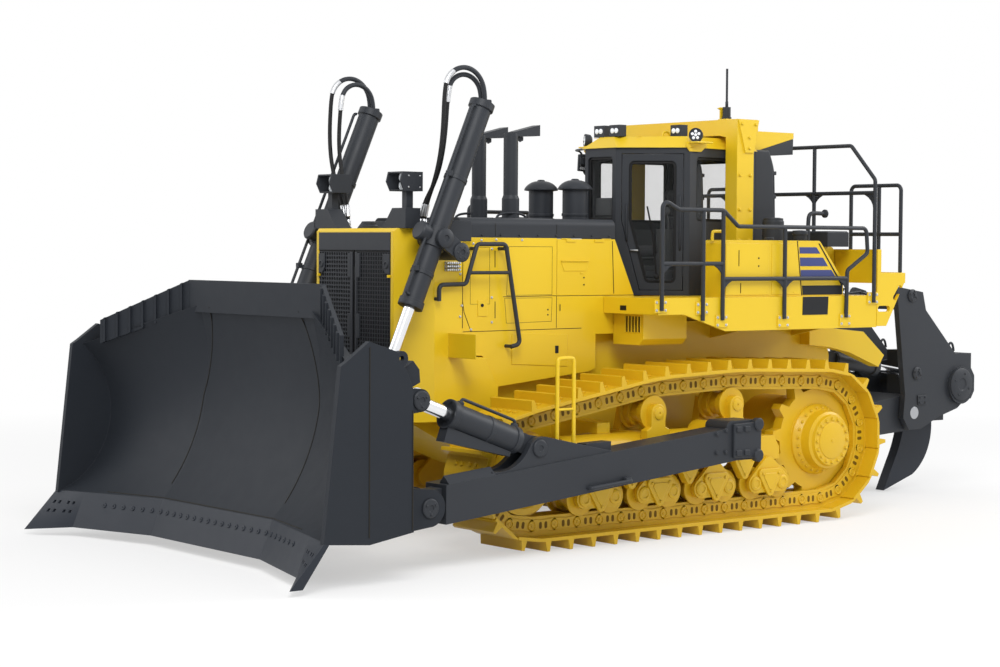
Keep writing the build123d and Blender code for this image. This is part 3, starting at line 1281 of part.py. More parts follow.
def ripper_bracket():
    """Rear mounting: a back plate with cheeks for the arm and the cylinders, between two horns."""
    back = HULL_REAR - BRACKET_PLATE
    plate = block((back, HULL_REAR), (-BRACKET_HALF, BRACKET_HALF),
                  (RIP_LOW[1] - 180, RIP_TILT_FOOT[1] + 100))
    lift, tilt = ring(RIP_LIFT_FOOT, BRACKET_EAR), ring(RIP_TILT_FOOT, BRACKET_EAR - 10)
    head = ring((back + BRACKET_ROOT, RIP_TILT_FOOT[1] + 80), BRACKET_ROOT)
    outer = make_hull([ring(RIP_LOW, BRACKET_EAR + 40), lift, tilt, head,
                       ring((back + BRACKET_ROOT, RIP_LOW[1] - 150), BRACKET_ROOT)])
    inner = make_hull([lift, tilt, head, ring((back + BRACKET_ROOT, RIP_LIFT_FOOT[1] - 150), BRACKET_ROOT)])
    low = RIP_CYL_Y - RIP_EYE_HALF - EAR_GAP
    half = side(outer, BRACKET_HALF - BRACKET_CHEEK, BRACKET_HALF) + side(inner, low - BRACKET_CHEEK, low)
    for spot in (RIP_LIFT_FOOT, RIP_TILT_FOOT):
        half += disc(*spot, RIP_CYL_PIN_R, low - BRACKET_CHEEK, BRACKET_HALF)
    half += disc(*RIP_LOW, RIP_PIN_R, 0, BRACKET_HALF)
    horn = shape((HORN_ROOT, 1985), (HORN_ROOT - 860, 1905), (HORN_TIP, 1636), (HORN_TIP + 90, 1509),
                 (HORN_ROOT - 640, 1680),
                 (HORN_ROOT - 330, 1745), (HORN_ROOT, 1780))
    half += side(horn, FRAME_HALF, HORN_OUT) + block((back, HULL_REAR), (BRACKET_HALF - 1, HORN_OUT),
                                                     (1790, 1960))
    return plate + half + mirrored(half)


def ripper_arm():
    """Wide box arm between the rear mounting and the ripper beam."""
    outline = make_hull([ring(RIP_LOW, 155), ring(RIP_PIN, 205)])
    arm = side(outline, -RIP_ARM_HALF, RIP_ARM_HALF)
    for spot in (RIP_LOW, RIP_PIN):
        arm -= disc(*spot, RIP_PIN_R + PIN_CLEAR, -RIP_ARM_HALF - 1, RIP_ARM_HALF + 1)
    return arm


def ripper_pin():
    return disc(*RIP_PIN, RIP_PIN_R, -RIP_PLATE_Y - RIP_PLATE, RIP_PLATE_Y + RIP_PLATE)


def ripper_beam():
    """Beam of two tall side plates on a cross tube, with the shank pocket and the push block."""
    outline = shape(
        (-4120, 2395), (-4570, 2330), (-4627, 2122), (-5150, 1616), (-5430, 1610), (-5430, 1128),
        (-5200, 973),
        (-4865, 885), (-4560, 760), (-4360, 760), (-4260, 900), (-4285, 1160))
    plate = side(outline, RIP_PLATE_Y, RIP_PLATE_Y + RIP_PLATE)
    plate -= disc(*RIP_PIN, RIP_PIN_R + PIN_CLEAR, RIP_PLATE_Y - 1, RIP_PLATE_Y + RIP_PLATE + 1)
    inner = RIP_CYL_Y - RIP_EYE_HALF - EAR_GAP
    web = side(shape((-5100, 1330), (-4480, 1320), (-4400, 1400), (-4480, 1480), (-5100, 1520)),
               inner - 50, inner)
    head = side(shape((-4640, 2110), (-4530, 2330), (-4350, 2370), (-4270, 2290), (-4350, 2210)),
                inner - 50, inner)
    half = plate + web + head + disc(*RIP_TUBE, RIP_TUBE_R, 0, RIP_PLATE_Y + RIP_PLATE + 40)
    half += block((-4620, -4520), (0, RIP_PLATE_Y + 5), (2120, 2300))
    half += block((-5440, -5400), (0, RIP_PLATE_Y + RIP_PLATE), (1128, 1610))
    half += block((-5420, -4790), (0, 165), (800, 1640))
    half += side(shape((RIP_PUSH_X, 1330), (RIP_PUSH_X + 60, 1420), (-5420, 1420), (-5420, 1060),
                       (RIP_PUSH_X + 60, 1060), (RIP_PUSH_X, 1150)), 0, 400)
    beam = half + mirrored(half)
    slot = SHANK_HALF + SEAT_GAP
    return beam - block((-5330 - SEAT_GAP, -4790 - 40 + SEAT_GAP), (-slot, slot), (790, 1650))


def ripper_shank():
    """Curved shank with its point."""
    outline = make_face([
        Polyline((-5330, 730), (-5330, 1640), (-4830, 1640), (-4830, 740)),
        ThreePointArc((-4830, 740), (-4770, 540), (-4677, 350)),
        Polyline((-4677, 350), RIP_TIP, (-4998, 170)),
        ThreePointArc((-4998, 170), (-5260, 440), (-5330, 730)),
    ])
    return side(outline, -SHANK_HALF, SHANK_HALF)


def ripper_lift_jack():
    barrel, piston = jack(RIP_LIFT_FOOT, RIP_LIFT_EYE, RIP_CYL_Y, RIP_BARREL_R, RIP_ROD_R, RIP_NECK,
                          RIP_BARREL, RIP_EYE_HALF, 660, 340)
    return barrel + eye_foot(RIP_LIFT_FOOT, RIP_LIFT_EYE, RIP_CYL_Y, RIP_EYE_HALF, RIP_CYL_PIN_R,
                             RIP_NECK + EAR_GAP), piston


def ripper_tilt_jack():
    barrel, piston = jack(RIP_TILT_FOOT, RIP_TILT_EYE, RIP_CYL_Y, RIP_BARREL_R, RIP_ROD_R, RIP_NECK,
                          RIP_BARREL, RIP_EYE_HALF, 660, 340)
    return barrel + eye_foot(RIP_TILT_FOOT, RIP_TILT_EYE, RIP_CYL_Y, RIP_EYE_HALF, RIP_CYL_PIN_R,
                             RIP_NECK + EAR_GAP), piston


# Hoses


def hose_points(sideways):
    """Route of a hose: up from the head of a lift cylinder, over a loop and down to the radiator guard."""
    x, z = along(LIFT_YOKE, LIFT_EYE, -LIFT_ABOVE)
    y = LIFT_Y + sideways
    step = math.radians(HOSE_LOOP_TURN / HOSE_LOOP_BENDS)
    run = 2 * HOSE_LOOP_R * math.tan(step / 2)
    points = [(x, y, z + HOSE_PORT), (x, y, z + HOSE_PORT + run / 2)]
    for bend in range(HOSE_LOOP_BENDS):
        heading = math.pi / 2 - (bend + 0.5) * step
        x, y, z = points[-1]
        points.append((x + run * math.cos(heading), y, z + run * math.sin(heading)))
    foot_x, foot_y, drop = points[-1][0] + 20, LIFT_Y - HOSE_INWARD + sideways, points[-1][2] - GUARD_TOP
    points.append((foot_x, y, GUARD_TOP + 0.62 * drop))
    points.append((foot_x, y - 0.35 * HOSE_INWARD, GUARD_TOP + 0.36 * drop))
    points.append((foot_x, foot_y, GUARD_TOP + 0.13 * drop))
    points.append((foot_x, foot_y, GUARD_TOP))
    return points


def cord_radii(points):
    """Largest bend that each pair of runs leaves room for."""
    radii = []
    for before, here, after in zip(points, points[1:], points[2:]):
        inward, outward = Vector(*here) - Vector(*before), Vector(*after) - Vector(*here)
        turn = math.radians(inward.get_angle(outward))
        radii.append(0.45 * min(inward.length, outward.length) / math.tan(turn / 2))
    return radii


def lift_hose(sideways):
    points = hose_points(sideways)
    radii = cord_radii(points)
    print("hose radii", [round(radius) for radius in radii])
    path = FilletPolyline(*points, radius=radii)
    return sweep(Plane(origin=path @ 0, z_dir=path % 0) * Circle(HOSE_R), path)


def nodes():
    """Every piece by its name, on the drawing's own origin."""
    body = blade()
    bogie_sets, carriers = bogies(), carrier_rollers()
    lift_barrel, lift_piston = lift_jack()
    brace_barrel, brace_piston = brace_jack()
    rip_barrel, rip_piston = ripper_lift_jack()
    tilt_barrel, tilt_piston = ripper_tilt_jack()
    lamps = [work_lamp(CAB_FRONT - 130, 120), work_lamp(CAB_WAIST - 60, 560)]
    paired = {
        "track": track(),
        "fender": fender(),
        "side_tank": side_tank(),
        "grille_door": grille_door(),
        "engine_cover": engine_cover(),
        "cab_door": cab_door(),
        "door_glass": door_glass(),
    }
    made = {}
    for name, piece in paired.items():
        made[f"{name}_left"] = piece
        made[f"{name}_right"] = mirrored(piece)
    for number, offset in enumerate((HOSE_SPREAD, -HOSE_SPREAD), 1):
        hose = lift_hose(offset)
        made[f"lift_hose_left_{number}"] = hose
        made[f"lift_hose_right_{number}"] = mirrored(hose)
    made.update({
        "sprockets": both(sprocket()),
        "idlers": both(idler()),
        "track_frames": both(track_frame()),
        "handrails": handrails(),
        "rear_locker": rear_locker(),
        "front_lamps": both(front_lamp()),
        "rear_platforms": both(rear_platform()),
        "bogies": Compound(children=[Part(p.wrapped) for s in bogie_sets for p in (s, mirrored(s))]),
        "carrier_rollers": Compound(children=[Part(p.wrapped) for s in carriers for p in (s, mirrored(s))]),
        "main_frame": main_frame(),
        "engine": engine(),
        "radiator_guard": radiator_guard(),
        "lift_yokes": both(lift_yoke()),
        "hood": hood(),
        "side_panels": both(side_panel()),
        "exhaust_stacks": both(exhaust_stack()),
        "precleaners": both(precleaner()),
        "cab_frame": cab_frame(),
        "cab_glass": cab_glass(),
        "cab_roof": cab_roof(),
        "operator_seat": operator_seat(),
        "control_console": control_console(),
        "rops": rops(),
        "fuel_tank": fuel_tank(),
        "work_lamps": Compound(children=[Part(p.wrapped) for lamp in lamps for p in (lamp,
                                                                                     mirrored(lamp))]),
        "antenna": antenna(),
        "ripper_bracket": ripper_bracket(),
        "push_arms": both(push_arm()),
        "blade": body,
        "cutting_edges": cutting_edges(body),
        "lift_cylinders": both(lift_barrel),
        "lift_rods": both(lift_piston),
        "brace_cylinders": both(brace_barrel),
        "brace_rods": both(brace_piston),
        "ripper_arm": ripper_arm(),
        "ripper_pin": ripper_pin(),
        "ripper_beam": ripper_beam(),
        "ripper_shank": ripper_shank(),
        "ripper_lift_cylinders": both(rip_barrel),
        "ripper_lift_rods": both(rip_piston),
        "ripper_tilt_cylinders": both(tilt_barrel),
        "ripper_tilt_rods": both(tilt_piston),
    })
    return made


def main():
    os.makedirs("parts", exist_ok=True)
    for name, piece in nodes().items():
        export_step(Pos(FRAME_SHIFT, 0, 0) * piece, f"parts/{name}.step")


if __name__ == "__main__":
    main()
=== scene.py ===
"""Looks of a crawler bulldozer: finishes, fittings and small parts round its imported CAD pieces."""

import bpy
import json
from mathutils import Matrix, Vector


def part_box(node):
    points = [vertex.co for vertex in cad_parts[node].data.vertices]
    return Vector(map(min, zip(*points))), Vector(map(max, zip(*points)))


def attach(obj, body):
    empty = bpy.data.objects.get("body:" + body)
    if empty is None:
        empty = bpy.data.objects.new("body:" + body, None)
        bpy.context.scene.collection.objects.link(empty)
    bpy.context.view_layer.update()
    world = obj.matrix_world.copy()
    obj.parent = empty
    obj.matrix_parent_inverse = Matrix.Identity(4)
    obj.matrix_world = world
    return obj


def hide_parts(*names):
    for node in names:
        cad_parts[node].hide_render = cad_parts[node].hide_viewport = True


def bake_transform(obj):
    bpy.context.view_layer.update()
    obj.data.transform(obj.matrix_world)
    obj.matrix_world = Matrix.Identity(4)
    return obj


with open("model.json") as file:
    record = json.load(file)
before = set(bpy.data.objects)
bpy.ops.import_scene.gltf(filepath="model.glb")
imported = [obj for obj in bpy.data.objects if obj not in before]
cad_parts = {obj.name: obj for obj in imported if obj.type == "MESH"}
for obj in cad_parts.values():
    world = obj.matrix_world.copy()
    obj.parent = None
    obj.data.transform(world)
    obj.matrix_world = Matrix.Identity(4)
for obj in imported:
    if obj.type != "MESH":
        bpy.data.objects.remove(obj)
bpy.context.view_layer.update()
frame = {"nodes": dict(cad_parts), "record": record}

import json
import math
from contextlib import contextmanager

import bpy
from mathutils import Matrix, Vector

bl_info = {
    "name": "Crawler bulldozer looks",
    "version": (1, 0, 0),
    "blender": (4, 5, 0),
    "location": "View3D > Sidebar > Bulldozer",
    "description": "Dresses the packed bulldozer with finishes, rails, bolts, lamps and hoses",
    "category": "Object",
}

TRACTOR = "tractor"
SHIFT = 0.2425
SIDES = (("left", 1), ("right", -1))
OUTWARD, INWARD = (0, 1, 0), (0, -1, 0)
FAR_LEFT = 3000
SHEET_FACE, GUARD_FACE, ARM_FACE, TANK_FACE, CHAIN_FACE = 700, 742, 1940, 1469, 1380
SPROCKET, IDLER = (-1990, 835), (1990, 705)
CARRIERS = ((-667, 1255), (394, 1215))
SHOES = 41


def spot(x, y, z):
    """A point given in millimetres from mid-track, in the frame's metres."""
    return Vector((x / 1000 + SHIFT, y / 1000, z / 1000))


# Shader helpers


class Wire:
    """A socket's value inside a finish, with arithmetic that adds Math nodes."""

    def __init__(self, finish, socket):
        self.finish = finish
        self.socket = socket

    def math(self, operation, first, second):
        return self.finish.add("ShaderNodeMath", {"operation": operation}, {0: first, 1: second})

    def __add__(self, other):
        return self.math("ADD", self, other)

    def __radd__(self, other):
        return self.math("ADD", other, self)

    def __sub__(self, other):
        return self.math("SUBTRACT", self, other)

    def __rsub__(self, other):
        return self.math("SUBTRACT", other, self)

    def __mul__(self, other):
        return self.math("MULTIPLY", self, other)

    def __rmul__(self, other):
        return self.math("MULTIPLY", other, self)


class Finish:
    """A procedural material and the nodes that feed its shader."""

    def __init__(self, name, owner=None, shader="Principled BSDF"):
        self.material = owner or bpy.data.materials.new(name)
        self.material.use_nodes = True
        self.tree = self.material.node_tree
        self.shader = self.tree.nodes[shader]

    def put(self, socket, value):
        if isinstance(value, Wire):
            self.tree.links.new(value.socket, socket)
        else:
            socket.default_value = value

    def add(self, kind, settings=None, inputs=None, out=0):
        node = self.tree.nodes.new(kind)
        for name, value in (settings or {}).items():
            setattr(node, name, value)
        for key, value in (inputs or {}).items():
            self.put(node.inputs[key], value)
        return Wire(self, node.outputs[out])

    def mix(self, share, first, second):
        """Colour between two, by a share of the second."""
        first = (*first, 1.0) if isinstance(first, tuple) else first
        second = (*second, 1.0) if isinstance(second, tuple) else second
        settings = {"data_type": "RGBA", "clamp_factor": True}
        return self.add("ShaderNodeMix", settings, {0: share, 6: first, 7: second}, out=2)

    def place(self):
        return self.add("ShaderNodeTexCoord", out="Object")

    def noise(self, scale, detail=3.0, stretch=(1.0, 1.0, 1.0)):
        where = self.add("ShaderNodeMapping", None, {"Vector": self.place(), "Scale": stretch})
        return self.add("ShaderNodeTexNoise", None, {"Vector": where, "Scale": scale, "Detail": detail})

    def rays(self):
        """One where the camera, a mirror or a pane of glass looks at the surface."""
        seen = [self.add("ShaderNodeLightPath", out=f"Is {kind} Ray") for kind in ("Camera", "Glossy",
                "Transmission")]
        return seen[0] + seen[1] + seen[2]

    def rounded(self, radius):
        return self.add("ShaderNodeBevel", {"samples": 4}, {"Radius": radius})

    def edges(self, rounded, gain):
        """How far the rounded normal leans from the true one, so that edges can be told from flats."""
        flat = self.add("ShaderNodeNewGeometry", out="Normal")
        lean = self.add("ShaderNodeVectorMath", {"operation": "DOT_PRODUCT"}, {0: rounded, 1: flat},
                        out="Value")
        return self.add("ShaderNodeMath", {"operation": "MULTIPLY", "use_clamp": True},
                        {0: 1.0 - lean, 1: gain})

    def bump(self, height, strength, distance, normal=None):
        inputs = {"Height": height, "Strength": strength, "Distance": distance}
        if normal is not None:
            inputs["Normal"] = normal
        return self.add("ShaderNodeBump", None, inputs)

    def shade(self, **inputs):
        for key, value in inputs.items():
            socket = self.shader.inputs[key.replace("_", " ")]
            if isinstance(value, tuple) and len(value) == 3:
                value = (*value, 1.0)
            self.put(socket, value)
        return self.material


# Scales of the noise in paint and steel
CLOUDS, MOTTLE, PEEL, BRUSHING = 1.3, 7.0, 260.0, 60.0


def paint_finish(name, colour, shaded, pale, roughness, coat, edge_radius, gloss):
    """Sprayed paint: cloudy tone, fine orange peel and a pale painted highlight on the edges, where they would
    catch the light.
    """
    finish = Finish(name)
    finish.shade(Specular_IOR_Level=gloss)
    rounded = finish.rounded(edge_radius)
    tone = finish.mix(finish.noise(CLOUDS, 4.0) * 0.8, shaded, colour)
    # Painted highlight: the edges are mixed towards the pale colour, as if lit.
    tone = finish.mix(finish.edges(rounded, 2.2) * 0.5, tone, pale)
    peel = finish.noise(PEEL, 2.0)
    rough = finish.noise(MOTTLE, 5.0) * 0.14 + (roughness - 0.07)
    return finish.shade(Base_Color=tone, Roughness=rough, Coat_Weight=coat,
                        Normal=finish.bump(peel, 0.05, 0.001, rounded))


def steel_finish(name, colour, worn, roughness, grain):
    """Bare or blued steel with brushed grain and bright edges."""
    finish = Finish(name)
    rounded = finish.rounded(0.006)
    brushed = finish.noise(BRUSHING, 6.0, grain)
    tone = finish.mix(brushed * 0.7, colour, worn)
    tone = finish.mix(finish.edges(rounded, 2.5) * 0.6, tone, worn)
    rough = brushed * 0.25 + (roughness - 0.1)
    return finish.shade(Base_Color=tone, Roughness=rough, Metallic=0.85,
                        Normal=finish.bump(brushed, 0.12, 0.001, rounded))


def rubber_finish(name, colour, scale, strength):
    """Matt rubber or moulded trim with a fine grain."""
    finish = Finish(name)
    finish.shade(Specular_IOR_Level=0.25)
    grain = finish.noise(scale, 5.0)
    tone = finish.mix(grain, tuple(0.6 * part for part in colour), colour)
    return finish.shade(Base_Color=tone, Roughness=grain * 0.2 + 0.5,
                        Normal=finish.bump(grain, strength, 0.002))


def glass_finish():
    """Tinted pane with a faint haze."""
    finish = Finish("tinted_glass")
    haze = finish.noise(3.0, 4.0)
    return finish.shade(Base_Color=(0.015, 0.019, 0.018), Roughness=haze * 0.05 + 0.02,
                        Alpha=haze * 0.06 + 0.07,
                        Coat_Weight=0.3)


def lens_finish():
    """Bright lens of a lamp with fine flutes, brightened by a faint painted glow."""
    finish = Finish("lamp_lens")
    flutes = finish.noise(90.0, 2.0, (1.0, 1.0, 5.0))
    tone = finish.mix(flutes, (0.62, 0.66, 0.7), (0.86, 0.88, 0.9))
    # Painted glow: a faint emission in the lens's own colour brightens it.
    finish.shade(Emission_Strength=0.22)
    return finish.shade(Base_Color=tone, Emission_Color=tone, Roughness=flutes * 0.15 + 0.08, Coat_Weight=0.6)


def cloth_finish():
    """Woven seat cloth: crossed threads with a little colour variation."""
    finish = Finish("seat_cloth")
    warp = finish.add("ShaderNodeTexWave", {"bands_direction": "X"},
                      {"Vector": finish.place(), "Scale": 260.0})
    weft = finish.add("ShaderNodeTexWave", {"bands_direction": "Y"},
                      {"Vector": finish.place(), "Scale": 260.0})
    weave = warp * weft
    shade = finish.mix(finish.noise(9.0, 4.0), (0.022, 0.023, 0.026), (0.05, 0.052, 0.058))
    tone = finish.mix(weave * 0.6, shade, (0.1, 0.104, 0.112))
    return finish.shade(Base_Color=tone, Roughness=weave * 0.15 + 0.75,
                        Normal=finish.bump(weave, 0.4, 0.0015))


def chrome_finish():
    """Hard-chromed rod with faint turning lines."""
    finish = Finish("chromed_rod")
    lines = finish.noise(40.0, 3.0, (1.0, 1.0, 14.0))
    tone = finish.mix(lines, (0.78, 0.79, 0.81), (0.9, 0.91, 0.93))
    return finish.shade(Base_Color=tone, Metallic=1.0, Roughness=lines * 0.08 + 0.1)


# Paint in each slot: name, colour, shaded tone, pale painted edge highlight, roughness, coat, edge radius and
# gloss
PAINTS = {
    "yellow": ("yellow_paint", (), (0.73, 0.485, 0.012), (0.86, 0.65, 0.06), 0.36, 0.12, 0.007, 0.4),
    "charcoal": ("charcoal_paint", (), (0.027, 0.03, 0.036), (0.075, 0.08, 0.09), 0.45, 0.0, 0.007, 0.22),
    "blade": ("blade_paint", (0.023, 0.027, 0.033), (0.018, 0.021, 0.027), (0.05, 0.055, 0.065), 0.5, 0.0,
              0.006, 0.15),
    "undercarriage": ("undercarriage_paint", (0.76, 0.49, 0.012), (0.64, 0.39, 0.008), (0.86, 0.64, 0.06),
                      0.42, 0.08,
                      0.008, 0.4),
    "track_steel": ("track_paint", (0.74, 0.475, 0.012), (0.6, 0.365, 0.008), (0.85, 0.62, 0.05), 0.44, 0.06,
                    0.006, 0.4),
    # The recess paint is painted shade: a dark brown copy of the yellow that stands in for the shade inside
    # holes and recesses.
    "recess": ("shaded_paint", (0.2, 0.115, 0.006), (0.13, 0.07, 0.004), (0.3, 0.18, 0.01), 0.6, 0.0, 0.004,
               0.2),
    "wear_steel": ("edge_paint", (0.026, 0.031, 0.041), (0.02, 0.024, 0.032), (0.075, 0.082, 0.095), 0.42,
                   0.0, 0.006, 0.2),
    "stripe": ("blue_stripe", (), (0.028, 0.042, 0.17), (0.06, 0.08, 0.27), 0.34, 0.2, 0.003, 0.4),
    "blank": ("blank_plate", (0.017, 0.018, 0.02), (0.013, 0.014, 0.016), (0.05, 0.05, 0.055), 0.42, 0.0,
              0.003, 0.18),
}
# Steel in each slot: name, colour, worn tone, roughness and the grain's stretch
STEELS = {
    "pin_steel": ("pin_steel", (0.32, 0.33, 0.35), (0.6, 0.61, 0.63), 0.3, (1.0, 8.0, 8.0)),
    "engine_iron": ("engine_iron", (0.05, 0.05, 0.055), (0.16, 0.16, 0.17), 0.6, (1.0, 1.0, 1.0)),
    "zinc": ("zinc_fitting", (0.5, 0.51, 0.53), (0.72, 0.73, 0.75), 0.32, (1.0, 1.0, 6.0)),
}
# Rubber and trim in each slot: name, colour, scale and depth of the grain
RUBBERS = {
    "cab_trim": ("cab_trim", (0.085, 0.09, 0.095), 220.0, 0.25),
    "hose": ("hose_rubber", (0.012, 0.012, 0.013), 420.0, 0.15),
    "seal": ("seal_rubber", (0.009, 0.009, 0.01), 300.0, 0.1),
    "gap": ("seam_shadow", (0.016, 0.014, 0.01), 90.0, 0.05),
}
FINISHES = {}


def make_finishes(colours):
    """Every finish by the name of its slot in the record."""
    chosen = {"yellow": colours.yellow, "charcoal": colours.charcoal, "stripe": colours.stripe}
    for slot, (name, colour, *rest) in PAINTS.items():
        FINISHES[slot] = paint_finish(name, tuple(chosen.get(slot, colour)), *rest)
    for slot, steel in STEELS.items():
        FINISHES[slot] = steel_finish(*steel)
    for slot, rubber in RUBBERS.items():
        FINISHES[slot] = rubber_finish(*rubber)
    FINISHES.update(glass=glass_finish(), lens=lens_finish(), cloth=cloth_finish(), chrome=chrome_finish())


# Modelling helpers


def fresh():
    """Object mode with nothing selected."""
    if bpy.context.object and bpy.context.object.mode != "OBJECT":
        bpy.ops.object.mode_set(mode="OBJECT")
    bpy.ops.object.select_all(action="DESELECT")


def pick(piece):
    """The only selected and active piece."""
    fresh()
    piece.select_set(True)
    bpy.context.view_layer.objects.active = piece
    return piece


@contextmanager
def editing(action="SELECT"):
    """Edit mode on the active piece, with all of it selected unless an action says otherwise."""
    bpy.ops.object.mode_set(mode="EDIT")
    if action:
        bpy.ops.mesh.select_all(action=action)
    yield
    bpy.ops.object.mode_set(mode="OBJECT")


def tooled(piece, kind, **settings):
    """Adds a modifier to a piece and applies it."""
    tool = pick(piece).modifiers.new(kind.lower(), kind)
    for name, value in settings.items():
        setattr(tool, name, value)
    bpy.ops.object.modifier_apply(modifier=tool.name)
    return piece


def eased(piece, edge):
    """Small round on every sharp edge of a piece, in millimetres."""
    return tooled(piece, "BEVEL", width=edge / 1000, segments=2, limit_method="ANGLE",
                  angle_limit=math.radians(35))


def block(low, high, edge=4.0):
    """A box between two corners with rounded edges."""
    fresh()
    low, high = spot(*low), spot(*high)
    size = Vector([abs(a - b) for a, b in zip(low, high)])
    bpy.ops.mesh.primitive_cube_add(size=1.0, location=(low + high) / 2, scale=size)
    bpy.ops.object.transform_apply()
    return eased(bpy.context.object, edge)


AXES = {"x": Vector((1, 0, 0)), "y": Vector(OUTWARD), "z": Vector((0, 0, 1))}


def plate(outline, axis, low, high, edge=2.0):
    """A flat piece of a given outline, drawn across an axis and extruded along it."""
    fresh()
    bpy.ops.mesh.primitive_circle_add(vertices=len(outline), radius=1.0, fill_type="NGON")
    piece = bpy.context.object
    for vertex, (first, second) in zip(piece.data.vertices, outline):
        corner = {"x": (low, first, second), "y": (first, low, second), "z": (first, second, low)}[axis]
        vertex.co = spot(*corner)
    with editing():
        bpy.ops.mesh.extrude_region_move(TRANSFORM_OT_translate={"value": AXES[axis] * (high - low) / 1000})
        bpy.ops.mesh.select_all(action="SELECT")
        bpy.ops.mesh.normals_make_consistent(inside=False)
    return eased(piece, edge) if edge else piece


def turned(profile, centre=None, aim=(0, 0, 1), sides=24):
    """A round piece about a line, from (radius, height) steps: a disc extruded and resized at each step."""
    fresh()
    radius, height = profile[0]
    bpy.ops.mesh.primitive_circle_add(vertices=sides, radius=radius / 1000, fill_type="NGON",
            location=(0, 0, height / 1000))
    piece = bpy.context.object
    bpy.ops.object.transform_apply()
    with editing():
        for next_radius, next_height in profile[1:]:
            rise = (0, 0, (next_height - height) / 1000)
            bpy.ops.mesh.extrude_region_move(TRANSFORM_OT_translate={"value": rise})
            grow = next_radius / radius
            bpy.ops.transform.resize(value=(grow, grow, 1), center_override=(0, 0, next_height / 1000))
            radius, height = next_radius, next_height
        bpy.ops.mesh.select_all(action="SELECT")
        bpy.ops.mesh.normals_make_consistent(inside=False)
    if centre is not None:
        piece.matrix_world = seat(spot(*centre), Vector(aim))
        bpy.ops.object.transform_apply()
    if sides > 8:
        bpy.ops.object.shade_smooth_by_angle(angle=math.radians(35))
    return piece


def curve_along(name, route, radius, smooth=True):
    """A round line through the points of a route, in metres, as a curve."""
    line = bpy.data.curves.new(name, "CURVE")
    line.dimensions = "3D"
    line.bevel_depth = radius
    line.bevel_resolution = 3
    line.resolution_u = 8
    line.use_fill_caps = True
    spline = line.splines.new("NURBS" if smooth else "POLY")
    spline.points.add(len(route) - 1)
    for point, place in zip(spline.points, route):
        point.co = (*place, 1.0)
    if smooth:
        spline.order_u = 3
        spline.use_endpoint_u = True
    piece = bpy.data.objects.new(name, line)
    bpy.context.scene.collection.objects.link(piece)
    return piece


def tube_along(name, route, radius, smooth=True):
    """The same round line as a mesh."""
    pick(curve_along(name, route, radius, smooth))
    bpy.ops.object.convert(target="MESH")
    return bpy.context.object


def pipe(route, radius, smooth=True):
    """A steel tube along points in millimetres, as a mesh."""
    piece = tube_along("tube", [spot(*point) for point in route], radius / 1000, smooth)
    bpy.ops.object.shade_smooth_by_angle(angle=math.radians(50))
    return piece


def seat(place, aim):
    """Stands a piece that was made on the ground plane on a place, its top towards an aim."""
    return Matrix.Translation(place) @ Vector(aim).to_track_quat("Z", "Y").to_matrix().to_4x4()


def land(node, start, aim):
    """Where a line from a point meets a CAD piece."""
    hit, place, normal, _ = frame["nodes"][node].ray_cast(spot(*start), Vector(aim))
    if not hit:
        raise RuntimeError(f"no surface of {node} below {start}")
    return place, normal


def stamped(master, seats):
    """Copies of a piece at several seats, each with its own mesh, joined into one."""
    twins = []
    for place in seats:
        twin = bpy.data.objects.new(master.name, master.data.copy())
        bpy.context.scene.collection.objects.link(twin)
        twin.matrix_world = place
        twins.append(twin)
    bpy.data.objects.remove(master)
    return merged(twins)


def merged(pieces):
    """Several pieces joined into one, its place in its mesh."""
    fresh()
    for piece in pieces:
        piece.select_set(True)
    bpy.context.view_layer.objects.active = pieces[0]
    if len(pieces) > 1:
        bpy.ops.object.join()
    bpy.ops.object.transform_apply()
    return bpy.context.object


def both(piece):
    """A left-hand piece with its right-hand mirror image."""
    return tooled(piece, "MIRROR", use_axis=(False, True, False), use_mirror_merge=False)


def bolt(size):
    """Hexagon head on a round washer, standing on the ground plane."""
    washer = turned([(size, 0), (size, 0.2 * size)], sides=12)
    head = turned([(0.78 * size, 0.2 * size), (0.78 * size, 0.7 * size), (0.6 * size, 0.82 * size)], sides=6)
    return merged([washer, head])


def bolts(node, starts, aim, size):
    """Bolts on a CAD piece, where lines from the starts along an aim meet it."""
    back = -Vector(aim)
    return stamped(bolt(size), [seat(land(node, start, aim)[0], back) for start in starts])


def outside(node, x, z):
    """How far out, in millimetres, the left side of a CAD piece stands at x and z."""
    return land(node, (x, FAR_LEFT, z), INWARD)[0].y * 1000


def side_bolts(node, places, size):
    """Bolts on the left side of a CAD piece, at places in x and z."""
    return bolts(node, [(x, FAR_LEFT, z) for x, z in places], INWARD, size)


def side_seats(places, y):
    """Seats that face left, at places in x and z."""
    return [seat(spot(x, y, z), OUTWARD) for x, z in places]


def knob(profile, x, y, z, sides=24):
    """A round piece on a left side, its profile's heights counted outwards from y."""
    return turned(profile, (x, y, z), OUTWARD, sides)


def dished(radius):
    """Profile of a pin's round cap, hollow in the middle."""
    return [(radius, 0), (radius, 14), (radius - 10, 22), (30, 24), (26, 16), (3, 16)]


def circle_of(centre, radius, count, turn=0.0):
    """Points round a centre in x and z."""
    steps = [turn + 2 * math.pi * index / count for index in range(count)]
    return [(centre[0] + radius * math.cos(step), centre[1] + radius * math.sin(step)) for step in steps]


def along(foot, eye, run, rise=0.0):
    """A point beside the line of a cylinder: so far from its foot, and so far above the line."""
    way = Vector((eye[0] - foot[0], eye[1] - foot[1])).normalized()
    return (foot[0] + way.x * run - way.y * rise, foot[1] + way.y * run + way.x * rise)


def sleeve(foot, eye, y, run, profile, sides=32):
    """A round piece about the line of a cylinder, its profile's heights counted from a run."""
    x, z = along(foot, eye, run)
    aim = Vector((eye[0] - foot[0], 0, eye[1] - foot[1]))
    return turned(profile, (x, y, z), aim, sides)


def beside(foot, eye, y, steps):
    """Points beside the line of a cylinder, from steps along it and above it."""
    return [(x, y, z) for x, z in (along(foot, eye, *step) for step in steps)]


